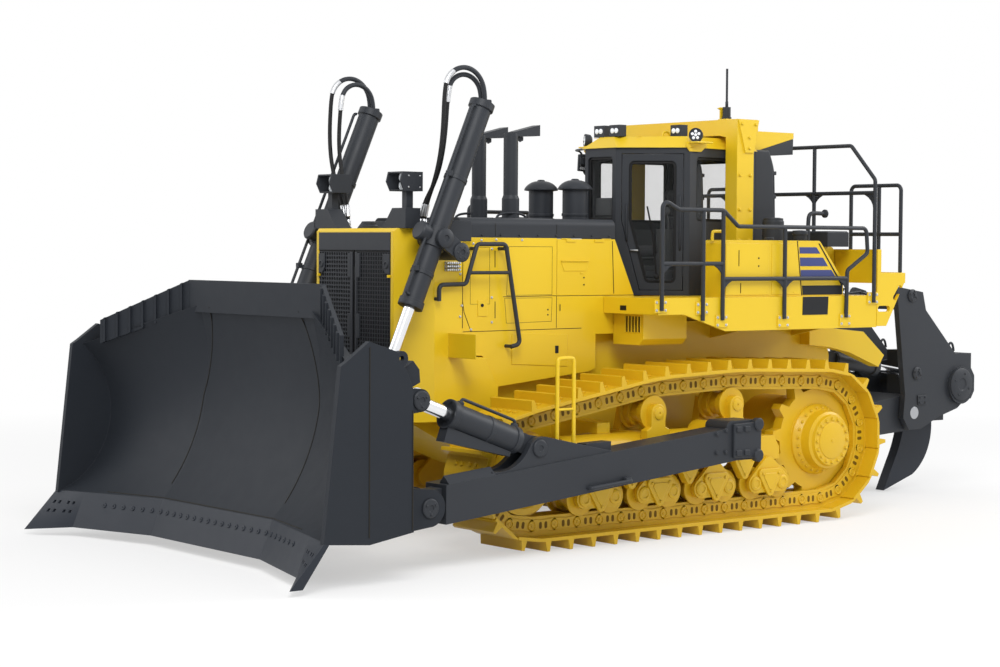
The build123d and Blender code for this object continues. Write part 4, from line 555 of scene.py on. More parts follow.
def dress(piece, name, body, slot=None, finish=None):
    """Names a finished piece, gives it its finish and sets it on its body."""
    bpy.ops.object.select_all(action="DESELECT")
    piece.name = name
    piece.data.name = name
    piece.data.materials.clear()
    piece.data.materials.append(FINISHES[finish or slot])
    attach(piece, body)
    return piece


def fit(parts, name, slot, finish=None, body=TRACTOR):
    """Joins left-hand parts, adds their right-hand mirror image and dresses the pair."""
    return dress(both(merged(parts)), name, body, slot, finish)


# Name, place, size and power of each lamp of the studio, all aimed at the middle of the machine
STUDIO_LIGHTS = (
    ("key_light", (9.0, 11.0, 13.0), 9.0, 1750.0),
    ("fill_light", (13.0, -9.0, 8.0), 9.0, 480.0),
    ("rear_light", (-12.0, 6.0, 9.0), 8.0, 900.0),
)
LIT_POINT = Vector((0, 0, 1.6))
FLOOR_RADIUS, FLOOR_HEIGHT = 60.0, -0.003


class OBJECT_OT_dozer_stage(bpy.types.Operator):
    """Camera at the photograph's angle, pale floor and soft studio light"""

    bl_idname = "object.dozer_stage"
    bl_label = "Stage"

    def execute(self, context):
        scene = context.scene
        settings = scene.dozer_stage
        scene.view_settings.view_transform = "Standard"
        back = Vector((math.sin(settings.azimuth) * math.cos(settings.elevation),
                       math.cos(settings.azimuth) * math.cos(settings.elevation), math.sin(settings.elevation)))
        right = Vector((0, 0, 1)).cross(back).normalized()
        up = back.cross(right)
        turn = Matrix.Rotation(settings.roll, 3, back)
        basis = Matrix((turn @ right, turn @ up, back)).transposed().to_4x4()
        bpy.ops.object.camera_add()
        camera = context.object
        camera.name = "photo_camera"
        camera.matrix_world = Matrix.Translation(Vector(settings.position)) @ basis
        camera.data.lens = settings.lens
        camera.data.sensor_width = 36.0
        camera.data.shift_x = settings.shift[0]
        camera.data.shift_y = settings.shift[1]
        camera.data.clip_end = 200.0
        scene.camera = camera
        bpy.ops.mesh.primitive_circle_add(vertices=96, radius=FLOOR_RADIUS, fill_type="NGON",
                location=(0, 0, FLOOR_HEIGHT))
        floor = context.object
        floor.name = "floor"
        floor.data.materials.append(self.floor_finish())
        for name, place, size, power in STUDIO_LIGHTS:
            bpy.ops.object.light_add(type="AREA", location=place)
            lamp = context.object
            lamp.name = name
            lamp.data.shape = "DISK"
            lamp.data.size = size
            lamp.data.energy = power
            lamp.rotation_euler = (LIT_POINT - Vector(place)).to_track_quat("-Z", "Y").to_euler()
        self.light_world(scene)
        return {"FINISHED"}

    def floor_finish(self):
        """White to the camera and to mirrors, yet darker where the machine shades it."""
        finish = Finish("pale_floor")
        away = finish.add("ShaderNodeVectorMath", {"operation": "LENGTH"}, {0: finish.place()}, out="Value")
        fade = finish.add("ShaderNodeMapRange", None,
                          {"Value": away, "From Min": 5.0, "From Max": 16.0, "To Min": 0.5})
        share = finish.add("ShaderNodeMath", {"operation": "MULTIPLY", "use_clamp": True},
                           {0: finish.rays(), 1: fade})
        finish.shade(Base_Color=(0.86, 0.86, 0.86), Roughness=0.9)
        glow = finish.add("ShaderNodeEmission", None, {"Strength": 1.0})
        lit = Wire(finish, finish.shader.outputs[0])
        blend = finish.add("ShaderNodeMixShader", None, {0: share, 1: lit, 2: glow})
        finish.put(finish.tree.nodes["Material Output"].inputs["Surface"], blend)
        return finish.material

    def light_world(self, scene):
        """Even white light all round, at full white where the camera sees it."""
        scene.world = bpy.data.worlds.new("studio")
        studio = Finish("studio", scene.world, "Background")
        inputs = {"Value": studio.rays(), "To Min": scene.dozer_stage.world_light, "To Max": 1.0}
        studio.shade(Color=(1.0, 1.0, 1.0), Strength=studio.add("ShaderNodeMapRange", None, inputs))


# The grille doors behind the perforated sheets take the near-black seal rubber as painted shade, so that the
# holes look black.
OWN_FINISH = {"blade": "blade", "grille_door_left": "seal", "grille_door_right": "seal"}


class OBJECT_OT_dozer_finishes(bpy.types.Operator):
    """Paint, steel, glass and rubber on every CAD piece"""

    bl_idname = "object.dozer_finishes"
    bl_label = "Finishes"

    def execute(self, context):
        make_finishes(context.scene.dozer_colours)
        for part in frame["record"]["subparts"]:
            piece = frame["nodes"][part["node"]]
            finish = FINISHES[OWN_FINISH.get(part["node"], part["material_slot"])]
            if piece.material_slots:
                for slot in piece.material_slots:
                    slot.link = "OBJECT"
                    slot.material = finish
            else:
                piece.data.materials.append(finish)
        return {"FINISHED"}


# The two hoses of a side lie this far either way of their route
HOSE_SPREAD = 0.028
LIFT_HOSE_ROUTE = [
    (2.3694, 0.9, 4.1875), (2.3694, 0.9, 4.2448), (2.3972, 0.9, 4.3561), (2.4739, 0.9, 4.4413),
    (2.5817, 0.9, 4.4806), (2.6953, 0.9, 4.4646), (2.7881, 0.9, 4.3972), (2.8383, 0.9, 4.2941),
    (2.8583, 0.9, 3.7966), (2.8583, 0.802, 3.4563), (2.8583, 0.62, 3.1552), (2.8583, 0.62, 2.985),
]
LOWER_LOOP = [
    (2.3694, 0.9, 4.1875), (2.3694, 0.9, 4.2248), (2.3922, 0.9, 4.3161), (2.4559, 0.9, 4.3863),
    (2.5467, 0.9, 4.4196), (2.6403, 0.9, 4.4066), (2.7181, 0.9, 4.3512), (2.7583, 0.9, 4.2441),
    (2.7883, 0.9, 3.7966), (2.7983, 0.802, 3.4563), (2.8583, 0.62, 3.1552), (2.8583, 0.62, 2.985),
]


class OBJECT_OT_dozer_hoses(bpy.types.Operator):
    """Hydraulic hoses from the lift cylinders' heads to the radiator guard, with their tubes and sleeves"""

    bl_idname = "object.dozer_hoses"
    bl_label = "Lift hoses"

    def execute(self, context):
        settings = context.scene.dozer_hoses
        for name, sideways, points, length in (("1", HOSE_SPREAD, LIFT_HOSE_ROUTE, settings.length),
                                               ("2", -HOSE_SPREAD, LOWER_LOOP, settings.lower_length)):
            for side, hand in SIDES:
                route = [(x, hand * (y + sideways), z) for x, y, z in points]
                self.hose(f"hose_{side}_{name}", f"lift_hose_{side}_{name}", route, hand, length,
                          settings.diameter)
        ferrule = [(27, 0), (27, 12), (23, 18), (26, 22), (26, 70), (22, 76)]
        feet = [turned([(34, 0), (34, 16)] + [(r, h + 16) for r, h in ferrule], (2615.8, 620 + shift, 2985),
                       sides=16)
                for shift in (28, -28)]
        fit(feet, "hose_foot_fittings", "pin_steel", "zinc")
        return {"FINISHED"}

    def hose(self, name, solid, route, hand, length, diameter):
        """One hose, its steel tube over the head of the cylinder and the pale sleeve where they meet."""
        bare = curve_along("route", route, 0.0)
        line = bpy.data.meshes.new_from_object(bare)
        path = [vertex.co.copy() for vertex in line.vertices]
        bpy.data.objects.remove(bare)
        hose = tube_along(name, route, diameter / 2)
        bpy.ops.object.shade_smooth()
        hose.data.materials.append(FINISHES["hose"])
        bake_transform(hose)
        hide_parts(solid)
        runs = [0.0]
        for start, end in zip(path, path[1:]):
            runs.append(runs[-1] + (end - start).length)
        end = runs[-1]
        for label, start, stop, radius, slot, finish in (("tube", -1.0, 0.56, 0.0235, "charcoal", "charcoal"),
                                                         ("sleeve", 0.55, 0.72, 0.026, "pin_steel", "zinc"),
                                                         ("foot_sleeve", end - 0.26, end - 0.08, 0.026,
                                                          "pin_steel", "zinc")):
            points = [point for point, run in zip(path, runs) if start < run < stop]
            cover = tube_along(f"{name}_{label}", points, radius, smooth=False)
            bpy.ops.object.shade_smooth_by_angle(angle=math.radians(50))
            cover.data.materials.append(FINISHES[finish])
            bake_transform(cover)


class OBJECT_OT_dozer_grille(bpy.types.Operator):
    """Perforated sheets and frames on the radiator doors, the blank plate, the lamps and the filler cap"""

    bl_idname = "object.dozer_grille"
    bl_label = "Radiator grille"

    def execute(self, context):
        pitch = context.scene.dozer_grille.pitch
        for side, hand in SIDES:
            body = f"grille_leaf_{side}"
            sheet = self.perforated(pitch, 0.022, 14, 1.322, 36)
            if hand < 0:
                sheet.data.transform(Matrix.Scale(-1, 4, Vector(OUTWARD)))
                sheet.data.flip_normals()
            dress(sheet, f"grille_sheet_{side}", body, "charcoal")
            strips = [block((2955, hand * 20, 1330), (2962, hand * 50, 2760), 2)]
            strips += [block((2955, hand * 50, z), (2963, hand * 96, z + 230), 3) for z in (2520, 1950, 1380)]
            strips.append(plate([(hand * 480, 2745), (hand * 584, 2745), (hand * 584, 2560),
                                 (hand * 520, 2560),
                                 (hand * 480, 2610)], "x", 2956, 2968, 3))
            strips.append(turned([(34, 0), (34, 8), (24, 10), (22, 3), (4, 3)], (2967, hand * 536, 2645),
                                 (1, 0, 0), 20))
            dress(merged(strips), f"grille_strips_{side}", body, "charcoal")
            tab = block((2952, hand * 570, 2525), (2985, hand * 588, 2552), 3)
            dress(tab, f"grille_tab_{side}", body, "yellow")
        name = block((2950, -588, 2776), (2964, 588, 2946), 5)
        dress(name, "blank_front_plate", TRACTOR, "charcoal")
        rim = [block((2948, 592, 1300), (2958, 632, 2960), 3),
               block((2948, -632, 1300), (2958, -592, 2960), 3)]
        dress(merged(rim), "guard_front_strips", TRACTOR, "yellow")
        cap = turned([(92, 0), (92, 26), (70, 34), (70, 58), (64, 66), (20, 70)], (2790, 0, 2984))
        dress(cap, "radiator_filler_cap", TRACTOR, "charcoal")
        self.lamps()
        return {"FINISHED"}

    def perforated(self, pitch, y, across, z, up):
        """A sheet of eight-sided holes: one cell with its hole, repeated both ways and thickened."""
        fresh()
        bpy.ops.mesh.primitive_plane_add(size=pitch,
                location=(spot(2951.5, 0, 0).x, y + pitch / 2, z + pitch / 2),
                                         rotation=(0, math.pi / 2, 0))
        cell = bpy.context.object
        bpy.ops.object.transform_apply()
        with editing():
            bpy.ops.mesh.inset(thickness=pitch * 0.13, depth=0.0)
            bpy.ops.mesh.bevel(affect="VERTICES", offset=pitch * 0.2, segments=1)
        middle = Vector((0, y + pitch / 2, z + pitch / 2))
        hole = min(cell.data.polygons,
                   key=lambda face: (Vector((0, face.center.y, face.center.z)) - middle).length)
        for face in cell.data.polygons:
            face.select = face == hole
        with editing(action=None):
            bpy.ops.mesh.select_mode(type="FACE")
            bpy.ops.mesh.delete(type="FACE")
        for count, step in ((across, (0, pitch, 0)), (up, (0, 0, pitch))):
            tooled(cell, "ARRAY", count=count, use_relative_offset=False, use_constant_offset=True,
                   constant_offset_displace=step, use_merge_vertices=True, merge_threshold=0.0005)
        return tooled(cell, "SOLIDIFY", thickness=0.006, offset=1.0)

    def lamps(self):
        """Four lenses in each front lamp's box, with the box's hinge bolts."""
        lens = turned([(40, 0), (42, 12), (38, 16), (34, 10), (22, 16), (2, 19)], sides=20)
        seats = [seat(spot(2777, y, z), (1, 0, 0)) for y in (527, 631) for z in (3381, 3455)]
        fit([stamped(lens, seats)], "front_lamp_lenses", "glass", "lens")
        frames = [block((2776, 474, 3414), (2786, 684, 3422), 1.5),
                  block((2776, 575, 3340), (2786, 583, 3496), 1.5)]
        fit(frames, "front_lamp_dividers", "charcoal")
        places = [(x, z) for x in (2700, 2830) for z in (3365, 3470)]
        fit([side_bolts("front_lamps", places, 9)], "front_lamp_bolts", "pin_steel", "zinc")


class OBJECT_OT_dozer_hood(bpy.types.Operator):
    """Seams, latches, access door and bolts of the engine's side sheets, and the bands on its pipes"""

    bl_idname = "object.dozer_hood"
    bl_label = "Hood fittings"

    def execute(self, context):
        y = SHEET_FACE
        seams = [((2210, 2014), (716, 2022)), ((1040, 2345), (1040, 2030)), ((1709, 2340), (1048, 2345))]
        strips = [self.seam(start, end, y) for start, end in seams]
        for outline in (((2110, 2812), (1876, 2812), (1872, 2273), (2106, 2274)),
                        ((1640, 2821), (1098, 2821), (1098, 2356), (1668, 2353)),
                        ((1690, 2326), (1096, 2326), (1105, 2096), (1666, 2086))):
            strips += [self.seam(a, b, y, 3) for a, b in zip(outline, outline[1:] + outline[:1])]
        strips += [self.seam((1811, 2782), (1810, 2622), y, 9), self.seam((1807, 2296), (1806, 2137), y, 9)]
        fit(strips, "side_sheet_seams", "charcoal", "gap")
        doors = [plate([(1600, 1690), (1600, 1985), (1171, 1986), (1146, 1970), (897, 1967), (897, 1650)],
                       "y", y - 1, y + 7, 3),
                 plate([(2018, 2312), (1905, 2316), (1903, 2155), (2017, 2159)], "y", y - 1, y + 6, 3)]
        fit(doors, "side_access_doors", "yellow")
        handles = [block((1016, y + 6, 1783), (1060, y + 12, 1857), 3),
                   block((995, y + 5, 2196), (1003, y + 9, 2260), 1.5),
                   knob([(16, 0), (16, 9), (9, 11)], 1968, y + 5, 2262, 12)]
        handles += [knob([(8, 0), (8, 5), (4, 6)], 1150, y - 1, z, 10) for z in (2210, 2160)]
        fit(handles, "side_sheet_latches", "charcoal", "blank")
        studs = [(2075, 2846), (1848, 2798), (1848, 2335), (1846, 2099), (2096, 2034), (1977, 2880),
                 (1799, 2886), (1480, 2886)]
        fit([side_bolts("side_panels", studs, 13)], "side_sheet_bolts", "pin_steel", "zinc")
        guard = [(2240, 2263), (2260, 2560), (2260, 2160), (2240, 1900), (2503, 2355), (2506, 2318)]
        fit([side_bolts("radiator_guard", guard, 13)], "guard_side_bolts", "pin_steel", "zinc")
        self.covers()
        self.vents()
        self.top()
        return {"FINISHED"}

    def seam(self, start, end, y, width=6):
        """A shallow strip along a seam between two points in x and z."""
        way = Vector((end[0] - start[0], end[1] - start[1])).normalized() * width / 2
        corners = [(start[0] - way.y, start[1] + way.x), (start[0] + way.y, start[1] - way.x),
                   (end[0] + way.y, end[1] - way.x), (end[0] - way.y, end[1] + way.x)]
        return plate(corners, "y", y - 1, y + 1.2, 0)

    def covers(self):
        """Grab panel, hinge leaves, seam and latches of each lifting cover."""
        for side, hand in SIDES:
            body = f"cover_leaf_{side}"
            y = hand * 1000 * max(abs(corner.y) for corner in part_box(f"engine_cover_{side}"))
            face = y - hand * 5
            grab = plate([(992, 2680), (624, 2680), (661, 2584), (947, 2584)], "y", face - hand,
                         face + hand * 4, 1.5)
            rim = [block((640, face, 2676), (985, face + hand * 14, 2688), 3)]
            dress(merged([grab] + rim), f"cover_grab_{side}", body, "yellow")
            leaves = [block((x, face, 2868), (x + 118, face + hand * 7, 2896), 2) for x in (436, 806)]
            leaves += [block((700, face, 2556), (735, face + hand * 5, 2572), 1.5)]
            dress(merged(leaves), f"cover_hinges_{side}", body, "yellow")
            lines = [plate([(322, 2880), (314, 2880), (290, 2360), (298, 2360)], "y", face - hand,
                           face + hand * 1.2, 0)]
            lines += [turned([(8, 0), (8, 5), (4, 6)], (690, face, z), (0, hand, 0), 10) for z in (2520,
                    2450)]
            dress(merged(lines), f"cover_seams_{side}", body, "charcoal", "gap")

    def front_cover(self):
        """Dark cover between the hood and the radiator guard, with a cheek on each side."""
        cheek = plate([(2420, 2975), (2400, 2868), (2135, 2868), (2135, 3062), (2340, 3062)], "y", 738, 750,
                      4)
        roof = plate([(2420, 2975), (2150, 2975), (2150, 3062), (2340, 3062)], "y", 0, 741, 4)
        fit([cheek, roof], "hood_front_cover", "charcoal")
        rail = pipe([(1500, 330, 3090), (1500, 330, 3150), (1130, 330, 3150), (1130, 330, 3090)], 12)
        fit([rail], "hood_hand_bars", "charcoal")
        curve = [(2204, 2856), (2209, 2600), (2208, 2359), (2180, 2200), (2097, 2016)]
        edge = [self.seam(a, b, SHEET_FACE, 7) for a, b in zip(curve, curve[1:])]
        edge.append(self.seam((2231, 2862), (2231, 2050), GUARD_FACE, 7))
        fit(edge, "guard_flange_seams", "charcoal", "gap")

    def vents(self):
        """Rows of pale pipe unions on the radiator guard, and the slots in the box under the deck, drawn as
        strips of painted shade.
        """
        union = turned([(15, 0), (15, 10), (10, 14), (10, 40), (6, 42)], sides=8)
        seats = []
        for x in range(2290, 2440, 24):
            for z in (2600, 2632, 2664):
                seats += side_seats([(x, z)], outside("radiator_guard", x, z))
        fit([stamped(union, seats)], "guard_pipe_unions", "pin_steel", "zinc")
        # The slots are thin dark strips in the seam shadow finish: painted shade for the inside of the
        # openings.
        slots = [block((299, y, 1985), (303, y + 26, 2140), 1.5) for y in (900, 945, 990, 1035, 1080)]
        slots.append(block((429, 950, 2202), (433, 1040, 2250), 1.5))
        fit(slots, "deck_box_slots", "charcoal", "gap")
        fins = [block((300, y, 1980), (312, y + 12, 2146), 2) for y in (884, 929, 974, 1019, 1064, 1109)]
        fit(fins, "deck_box_fins", "yellow")

    def top(self):
        """Seams and bolts of the hood, bands round the stacks and the intakes, and a cap on the intake."""
        strips = [block((x - 4, -660, 3094), (x + 4, 660, 3097), 1) for x in (1807, 1043)]
        strips += [block((x - 3, hand * 699, 2915), (x + 3, hand * 702, 3040),
                         1) for _, hand in SIDES for x in (1807, 1043)]
        dress(merged(strips), "hood_seams", TRACTOR, "charcoal", "gap")
        self.front_cover()
        fit([side_bolts("hood", [(x, 2930) for x in range(360, 2200, 230)], 12)], "hood_bolts", "charcoal")
        rings = [turned([(150, 0), (150, 14), (128, 16)], (1264, 253, 3094))]
        tab = plate([(1190, 3880), (1196, 3905), (1110, 3905), (1110, 3868), (1150, 3850)], "y", 247, 259, 2)
        fit(rings + [tab], "stack_bands", "charcoal")
        bands = [turned([(130, 0), (134, 4), (134, 26), (130, 30)], (442, 267, 3130))]
        bands += [turned([(171, 0), (174, 5), (174, 14), (169, 20)], (442, 267, 3396))]
        bands.append(turned([(40, 0), (40, 12), (30, 20), (6, 22)], (442, 267, 3486)))
        fit(bands, "intake_bands", "charcoal")


class OBJECT_OT_dozer_cab(bpy.types.Operator):
    """Window seals, door furniture, wipers, mirror, lamps and bolts of the cab and its roll-over frame"""

    bl_idname = "object.dozer_cab"
    bl_label = "Cab fittings"

    def execute(self, context):
        self.seal("cab_glass", "window_seals", TRACTOR)
        for side, hand in SIDES:
            self.seal(f"door_glass_{side}", f"door_seal_{side}", f"door_leaf_{side}")
            self.door(side, hand)
        places = [(x, z) for x in (-1240, -1390) for z in (3574, 3218, 2900, 2460)]
        fit([side_bolts("rops", places, 20)], "frame_bolts", "yellow")
        places = ((-1250, 4100), (-1450, 4100), (-1360, 3960), (-1360, 3850))
        fit([side_bolts("rops", places, 17)], "gusset_bolts", "yellow")
        self.lamps()
        self.mirror()
        self.rear_column()
        self.roof()
        return {"FINISHED"}

    def seal(self, node, name, body):
        """Rubber channel round the edges of the panes: their broad faces are inset, opened and thickened."""
        panes = bpy.data.objects.new(name, frame["nodes"][node].data.copy())
        bpy.context.scene.collection.objects.link(panes)
        pick(panes)
        with editing():
            bpy.ops.mesh.remove_doubles(threshold=0.00005)
            bpy.ops.mesh.dissolve_limited(angle_limit=math.radians(1))
            bpy.ops.mesh.select_all(action="DESELECT")
        for face in panes.data.polygons:
            face.select = face.area > 0.05
        with editing(action=None):
            bpy.ops.mesh.select_mode(type="FACE")
            bpy.ops.mesh.inset(thickness=0.028, depth=0.0, use_individual=True)
            bpy.ops.mesh.delete(type="FACE")
        tooled(panes, "SOLIDIFY", thickness=0.012, offset=1.0)
        eased(panes, 3)
        dress(panes, name, body, "cab_trim", "seal")

    def door(self, side, hand):
        """Grab handles, latch and wiper on a door, drawn in the door's own plane."""
        low, high = Vector((-650, 790)), Vector((-130, 240))
        way = (high - low).normalized()
        out = Vector((-way.y, way.x)) if -way.y > 0 else Vector((way.y, -way.x))

        def spot_on(run, z, lift=0.0):
            place = low + way * run + out * lift
            return (place.x, hand * place.y, z)

        parts = [pipe([spot_on(640, 2890, 0), spot_on(640, 2890, 48), spot_on(640, 3260, 48),
                       spot_on(640, 3260, 0)], 11)]
        parts.append(pipe([spot_on(95, 2800, 0), spot_on(95, 2800, 40), spot_on(95, 3350, 40),
                           spot_on(95, 3350, 0)], 11))
        dress(merged(parts), f"door_grabs_{side}", f"door_leaf_{side}", "charcoal")
        latch = pipe([spot_on(600, 2790, 0), spot_on(600, 2790, 26), spot_on(520, 2790, 30)], 9)
        dress(latch, f"door_latch_{side}", f"door_leaf_{side}", "pin_steel", "zinc")
        wiper = [pipe([spot_on(330, 2520, 22), spot_on(380, 3020, 30)], 7, smooth=False),
                 pipe([spot_on(330, 2760, 26), spot_on(430, 3240, 26)], 9, smooth=False),
                 turned([(26, 0), (26, 30), (14, 38)], spot_on(330, 2520, 0), (out.x, hand * out.y, 0), 16)]
        dress(merged(wiper), f"door_wiper_{side}", f"door_leaf_{side}", "cab_trim", "seal")

    def lamps(self):
        """Lenses of the roof lamps and the round lamps on their brackets beside the cab."""
        seats = []
        for y in (120, 560):
            place = land("work_lamps", (2000, y, 4020), (-1, 0, 0))[0]
            for shift in (-0.03, 0.03):
                seats.append(seat(place + Vector((-0.002, shift, 0)), (1, 0, 0)))
        lens = turned([(26, 0), (27, 10), (22, 13), (12, 17), (2, 18)], sides=16)
        fit([stamped(lens, seats)], "roof_lamp_lenses", "glass", "lens")
        centre, aim = (-674, 850, 3966), Vector((0.82, 0.52, 0.05))
        drum = turned([(40, -60), (66, -40), (72, 0), (72, 22), (64, 24), (60, 14), (2, 12)], centre, aim)
        fork = pipe([(-690, 790, 3966), (-690, 790, 3895), (-690, 910, 3895), (-690, 910, 3966)], 8)
        fit([drum, fork], "side_lamps", "charcoal")
        dot = turned([(15, 0), (16, 8), (10, 12), (2, 13)], sides=12)
        across = aim.cross(Vector((0, 0, 1))).normalized()
        rise = across.cross(aim).normalized()
        middle = spot(*centre) + aim.normalized() * 0.012
        offsets = [(0, 0)] + circle_of((0, 0), 36, 5, 0.3)
        seats = [seat(middle + across * a / 1000 + rise * b / 1000, aim) for a, b in offsets]
        fit([stamped(dot, seats)], "side_lamp_lenses", "glass", "lens")
        arm = [plate([(-590, 3905), (-880, 3905), (-880, 3860), (-800, 3800), (-640, 3800), (-590, 3850)],
                     "y", 786, 800, 4),
               block((-850, 786, 3884), (-620, 920, 3900), 4)]
        fit(arm, "side_lamp_brackets", "yellow")

    def rear_column(self):
        """Dark column and cable run behind the roll-over frame, on the fuel tank."""
        parts = [plate([(-1755, 2832), (-1755, 3860), (-1975, 3860), (-2040, 3700), (-2070, 2832)], "y", 470,
                       620, 14)]
        parts += [pipe([(-2085, y, 2850), (-2070, y, 3500), (-2055, y, 3700), (-1975, y, 3850)],
                       12) for y in (500, 540, 595)]
        parts += [block((-2095, 485, z), (-2030, 612, z + 40), 5) for z in (3000, 3350, 3600)]
        fit(parts, "rear_columns", "charcoal")

    def mirror(self):
        """Mirror on a bent tube ahead of the right-hand door."""
        tube = pipe([(-250, -420, 3845), (-300, -640, 3845), (-500, -705, 3840), (-500, -705, 3600),
                     (-560, -705, 3590)], 11)
        head = plate([(-430, 3630), (-440, 3810), (-560, 3815), (-568, 3625)], "y", -722, -690, 10)
        dress(merged([tube, head]), "right_mirror", TRACTOR, "charcoal")
        face = plate([(-445, 3645), (-452, 3798), (-548, 3802), (-554, 3640)], "y", -690, -687, 1)
        dress(face, "right_mirror_glass", TRACTOR, "chrome")

    def roof(self):
        """Seams and lifting eyes of the roof, and the aerial's foot and mount."""
        strips = [block((-1200, y - 3, 3958), (-330, y + 3, 3963), 1) for y in (-330, 330)]
        dress(merged(strips), "roof_seams", TRACTOR, "yellow")
        y = 430
        eye = [pipe([(-600, y, 3955), (-600, y, 4015), (-700, y, 4015), (-700, y, 3955)], 12)]
        eye += [turned([(34, 0), (34, 12), (20, 14)], (x, y, 3952), sides=16) for x in (-600, -700)]
        fit(eye, "roof_lifting_eyes", "yellow")
        x, y = -1350, 603
        foot = [turned([(62, 0), (62, 14), (50, 20), (50, 36), (30, 44)], (x, y, 4149)),
                turned([(9, 0), (16, 10), (16, 60), (9, 70)], (x, y, 4286))]
        dress(merged(foot), "aerial_foot", TRACTOR, "charcoal")
        mount = [plate([(-1430, 4150), (-1270, 4150), (-1290, 4166), (-1410, 4166)], "y", 540, 666, 3),
                 plate([(-1405, 4160), (-1405, 4290), (-1305, 4290), (-1265, 4275), (-1305, 4262),
                        (-1305, 4160)], "y", 540, 554, 3)]
        dress(merged(mount), "aerial_mount", TRACTOR, "yellow")


class OBJECT_OT_dozer_seat(bpy.types.Operator):
    """Padded seat, pedestal, levers and screen inside the cab"""

    bl_idname = "object.dozer_seat"
    bl_label = "Operator's seat"

    def execute(self, context):
        cushion = self.pad("seat_cushion", (-1218, -248, 2718), (-722, 248, 2842), (0, 0, 1), 0.55)
        self.pad("seat_back", (-1308, -238, 2850), (-1208, 238, 3455), (1, 0, 0), 0.55)
        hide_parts("operator_seat")
        folds = []
        for index in range(5):
            z = 2372 + index * 66
            tuck = 8 * (index % 2)
            folds.append(block((-1165 + tuck, -165 + tuck, z), (-795 - tuck, 165 - tuck, z + 66), 16))
        folds.append(block((-1225, -215, 2700), (-740, 215, 2722), 8))
        folds.append(block((-1316, -120, 2740), (-1296, 120, 3380), 8))
        dress(merged(folds), "seat_pedestal", TRACTOR, "cab_trim")
        rods = [pipe([(-740, hand * 380, 3005), (-740, hand * 380, 3090), (-715, hand * 380, 3160)],
                     12) for _, hand in SIDES]
        rods += [turned([(14, 0), (30, 20), (34, 50), (26, 78), (8, 86)],
                        (-715, hand * 380, 3150)) for _, hand in SIDES]
        rods.append(block((-240, -160, 3146), (-205, 160, 3330), 10))
        dress(merged(rods), "levers_and_screen", TRACTOR, "cab_trim")
        return {"FINISHED"}

    SHRINK, CHANNEL_DEPTH, MOST_MOVE = 10, 0.011, 0.009

    def pad(self, name, low, high, face, fill):
        """A stuffed pad: a rounded block blown up as cloth, then creased along its sewn channels."""
        piece = block([v + self.SHRINK for v in low], [v - self.SHRINK for v in high], 34)
        tooled(piece, "REMESH", mode="VOXEL", voxel_size=0.006)
        self.blow(piece)
        middle = (spot(*low) + spot(*high)) / 2
        across = Vector(OUTWARD)
        way = Vector(face)
        along_pad = way.cross(across)
        for vertex in piece.data.vertices:
            side = (vertex.co - middle).dot(way)
            if side <= 0:
                continue
            run = (vertex.co - middle).dot(along_pad)
            reach = (vertex.co - middle).dot(across)
            dip = max(math.exp(-((abs(reach) - 0.15) / 0.012) ** 2),
                      max(math.exp(-((run - step) / 0.01) ** 2) for step in (-0.14, 0.0,
                              0.14)) * (abs(reach) < 0.15))
            vertex.co -= way * self.CHANNEL_DEPTH * dip
        tooled(piece, "SUBSURF", levels=1, render_levels=1)
        pick(piece)
        bpy.ops.object.shade_smooth()
        dress(piece, name, TRACTOR, "cab_trim", "cloth")
        return piece

    def blow(self, piece):
        """Twenty frames of cloth under pressure, with each point held within a few millimetres."""
        start = [vertex.co.copy() for vertex in piece.data.vertices]
        cloth = pick(piece).modifiers.new("cloth", "CLOTH")
        cloth.settings.use_pressure = True
        cloth.settings.uniform_pressure_force = 4.0
        cloth.settings.effector_weights.gravity = 0.0
        cloth.point_cache.frame_start = 1
        cloth.point_cache.frame_end = 20
        for step in range(1, 21):
            bpy.context.scene.frame_set(step)
        bpy.ops.object.modifier_apply(modifier=cloth.name)
        bpy.context.scene.frame_set(1)
        for vertex, home in zip(piece.data.vertices, start):
            move = vertex.co - home
            vertex.co = home + move * min(1.0, self.MOST_MOVE / max(move.length, 1e-6))


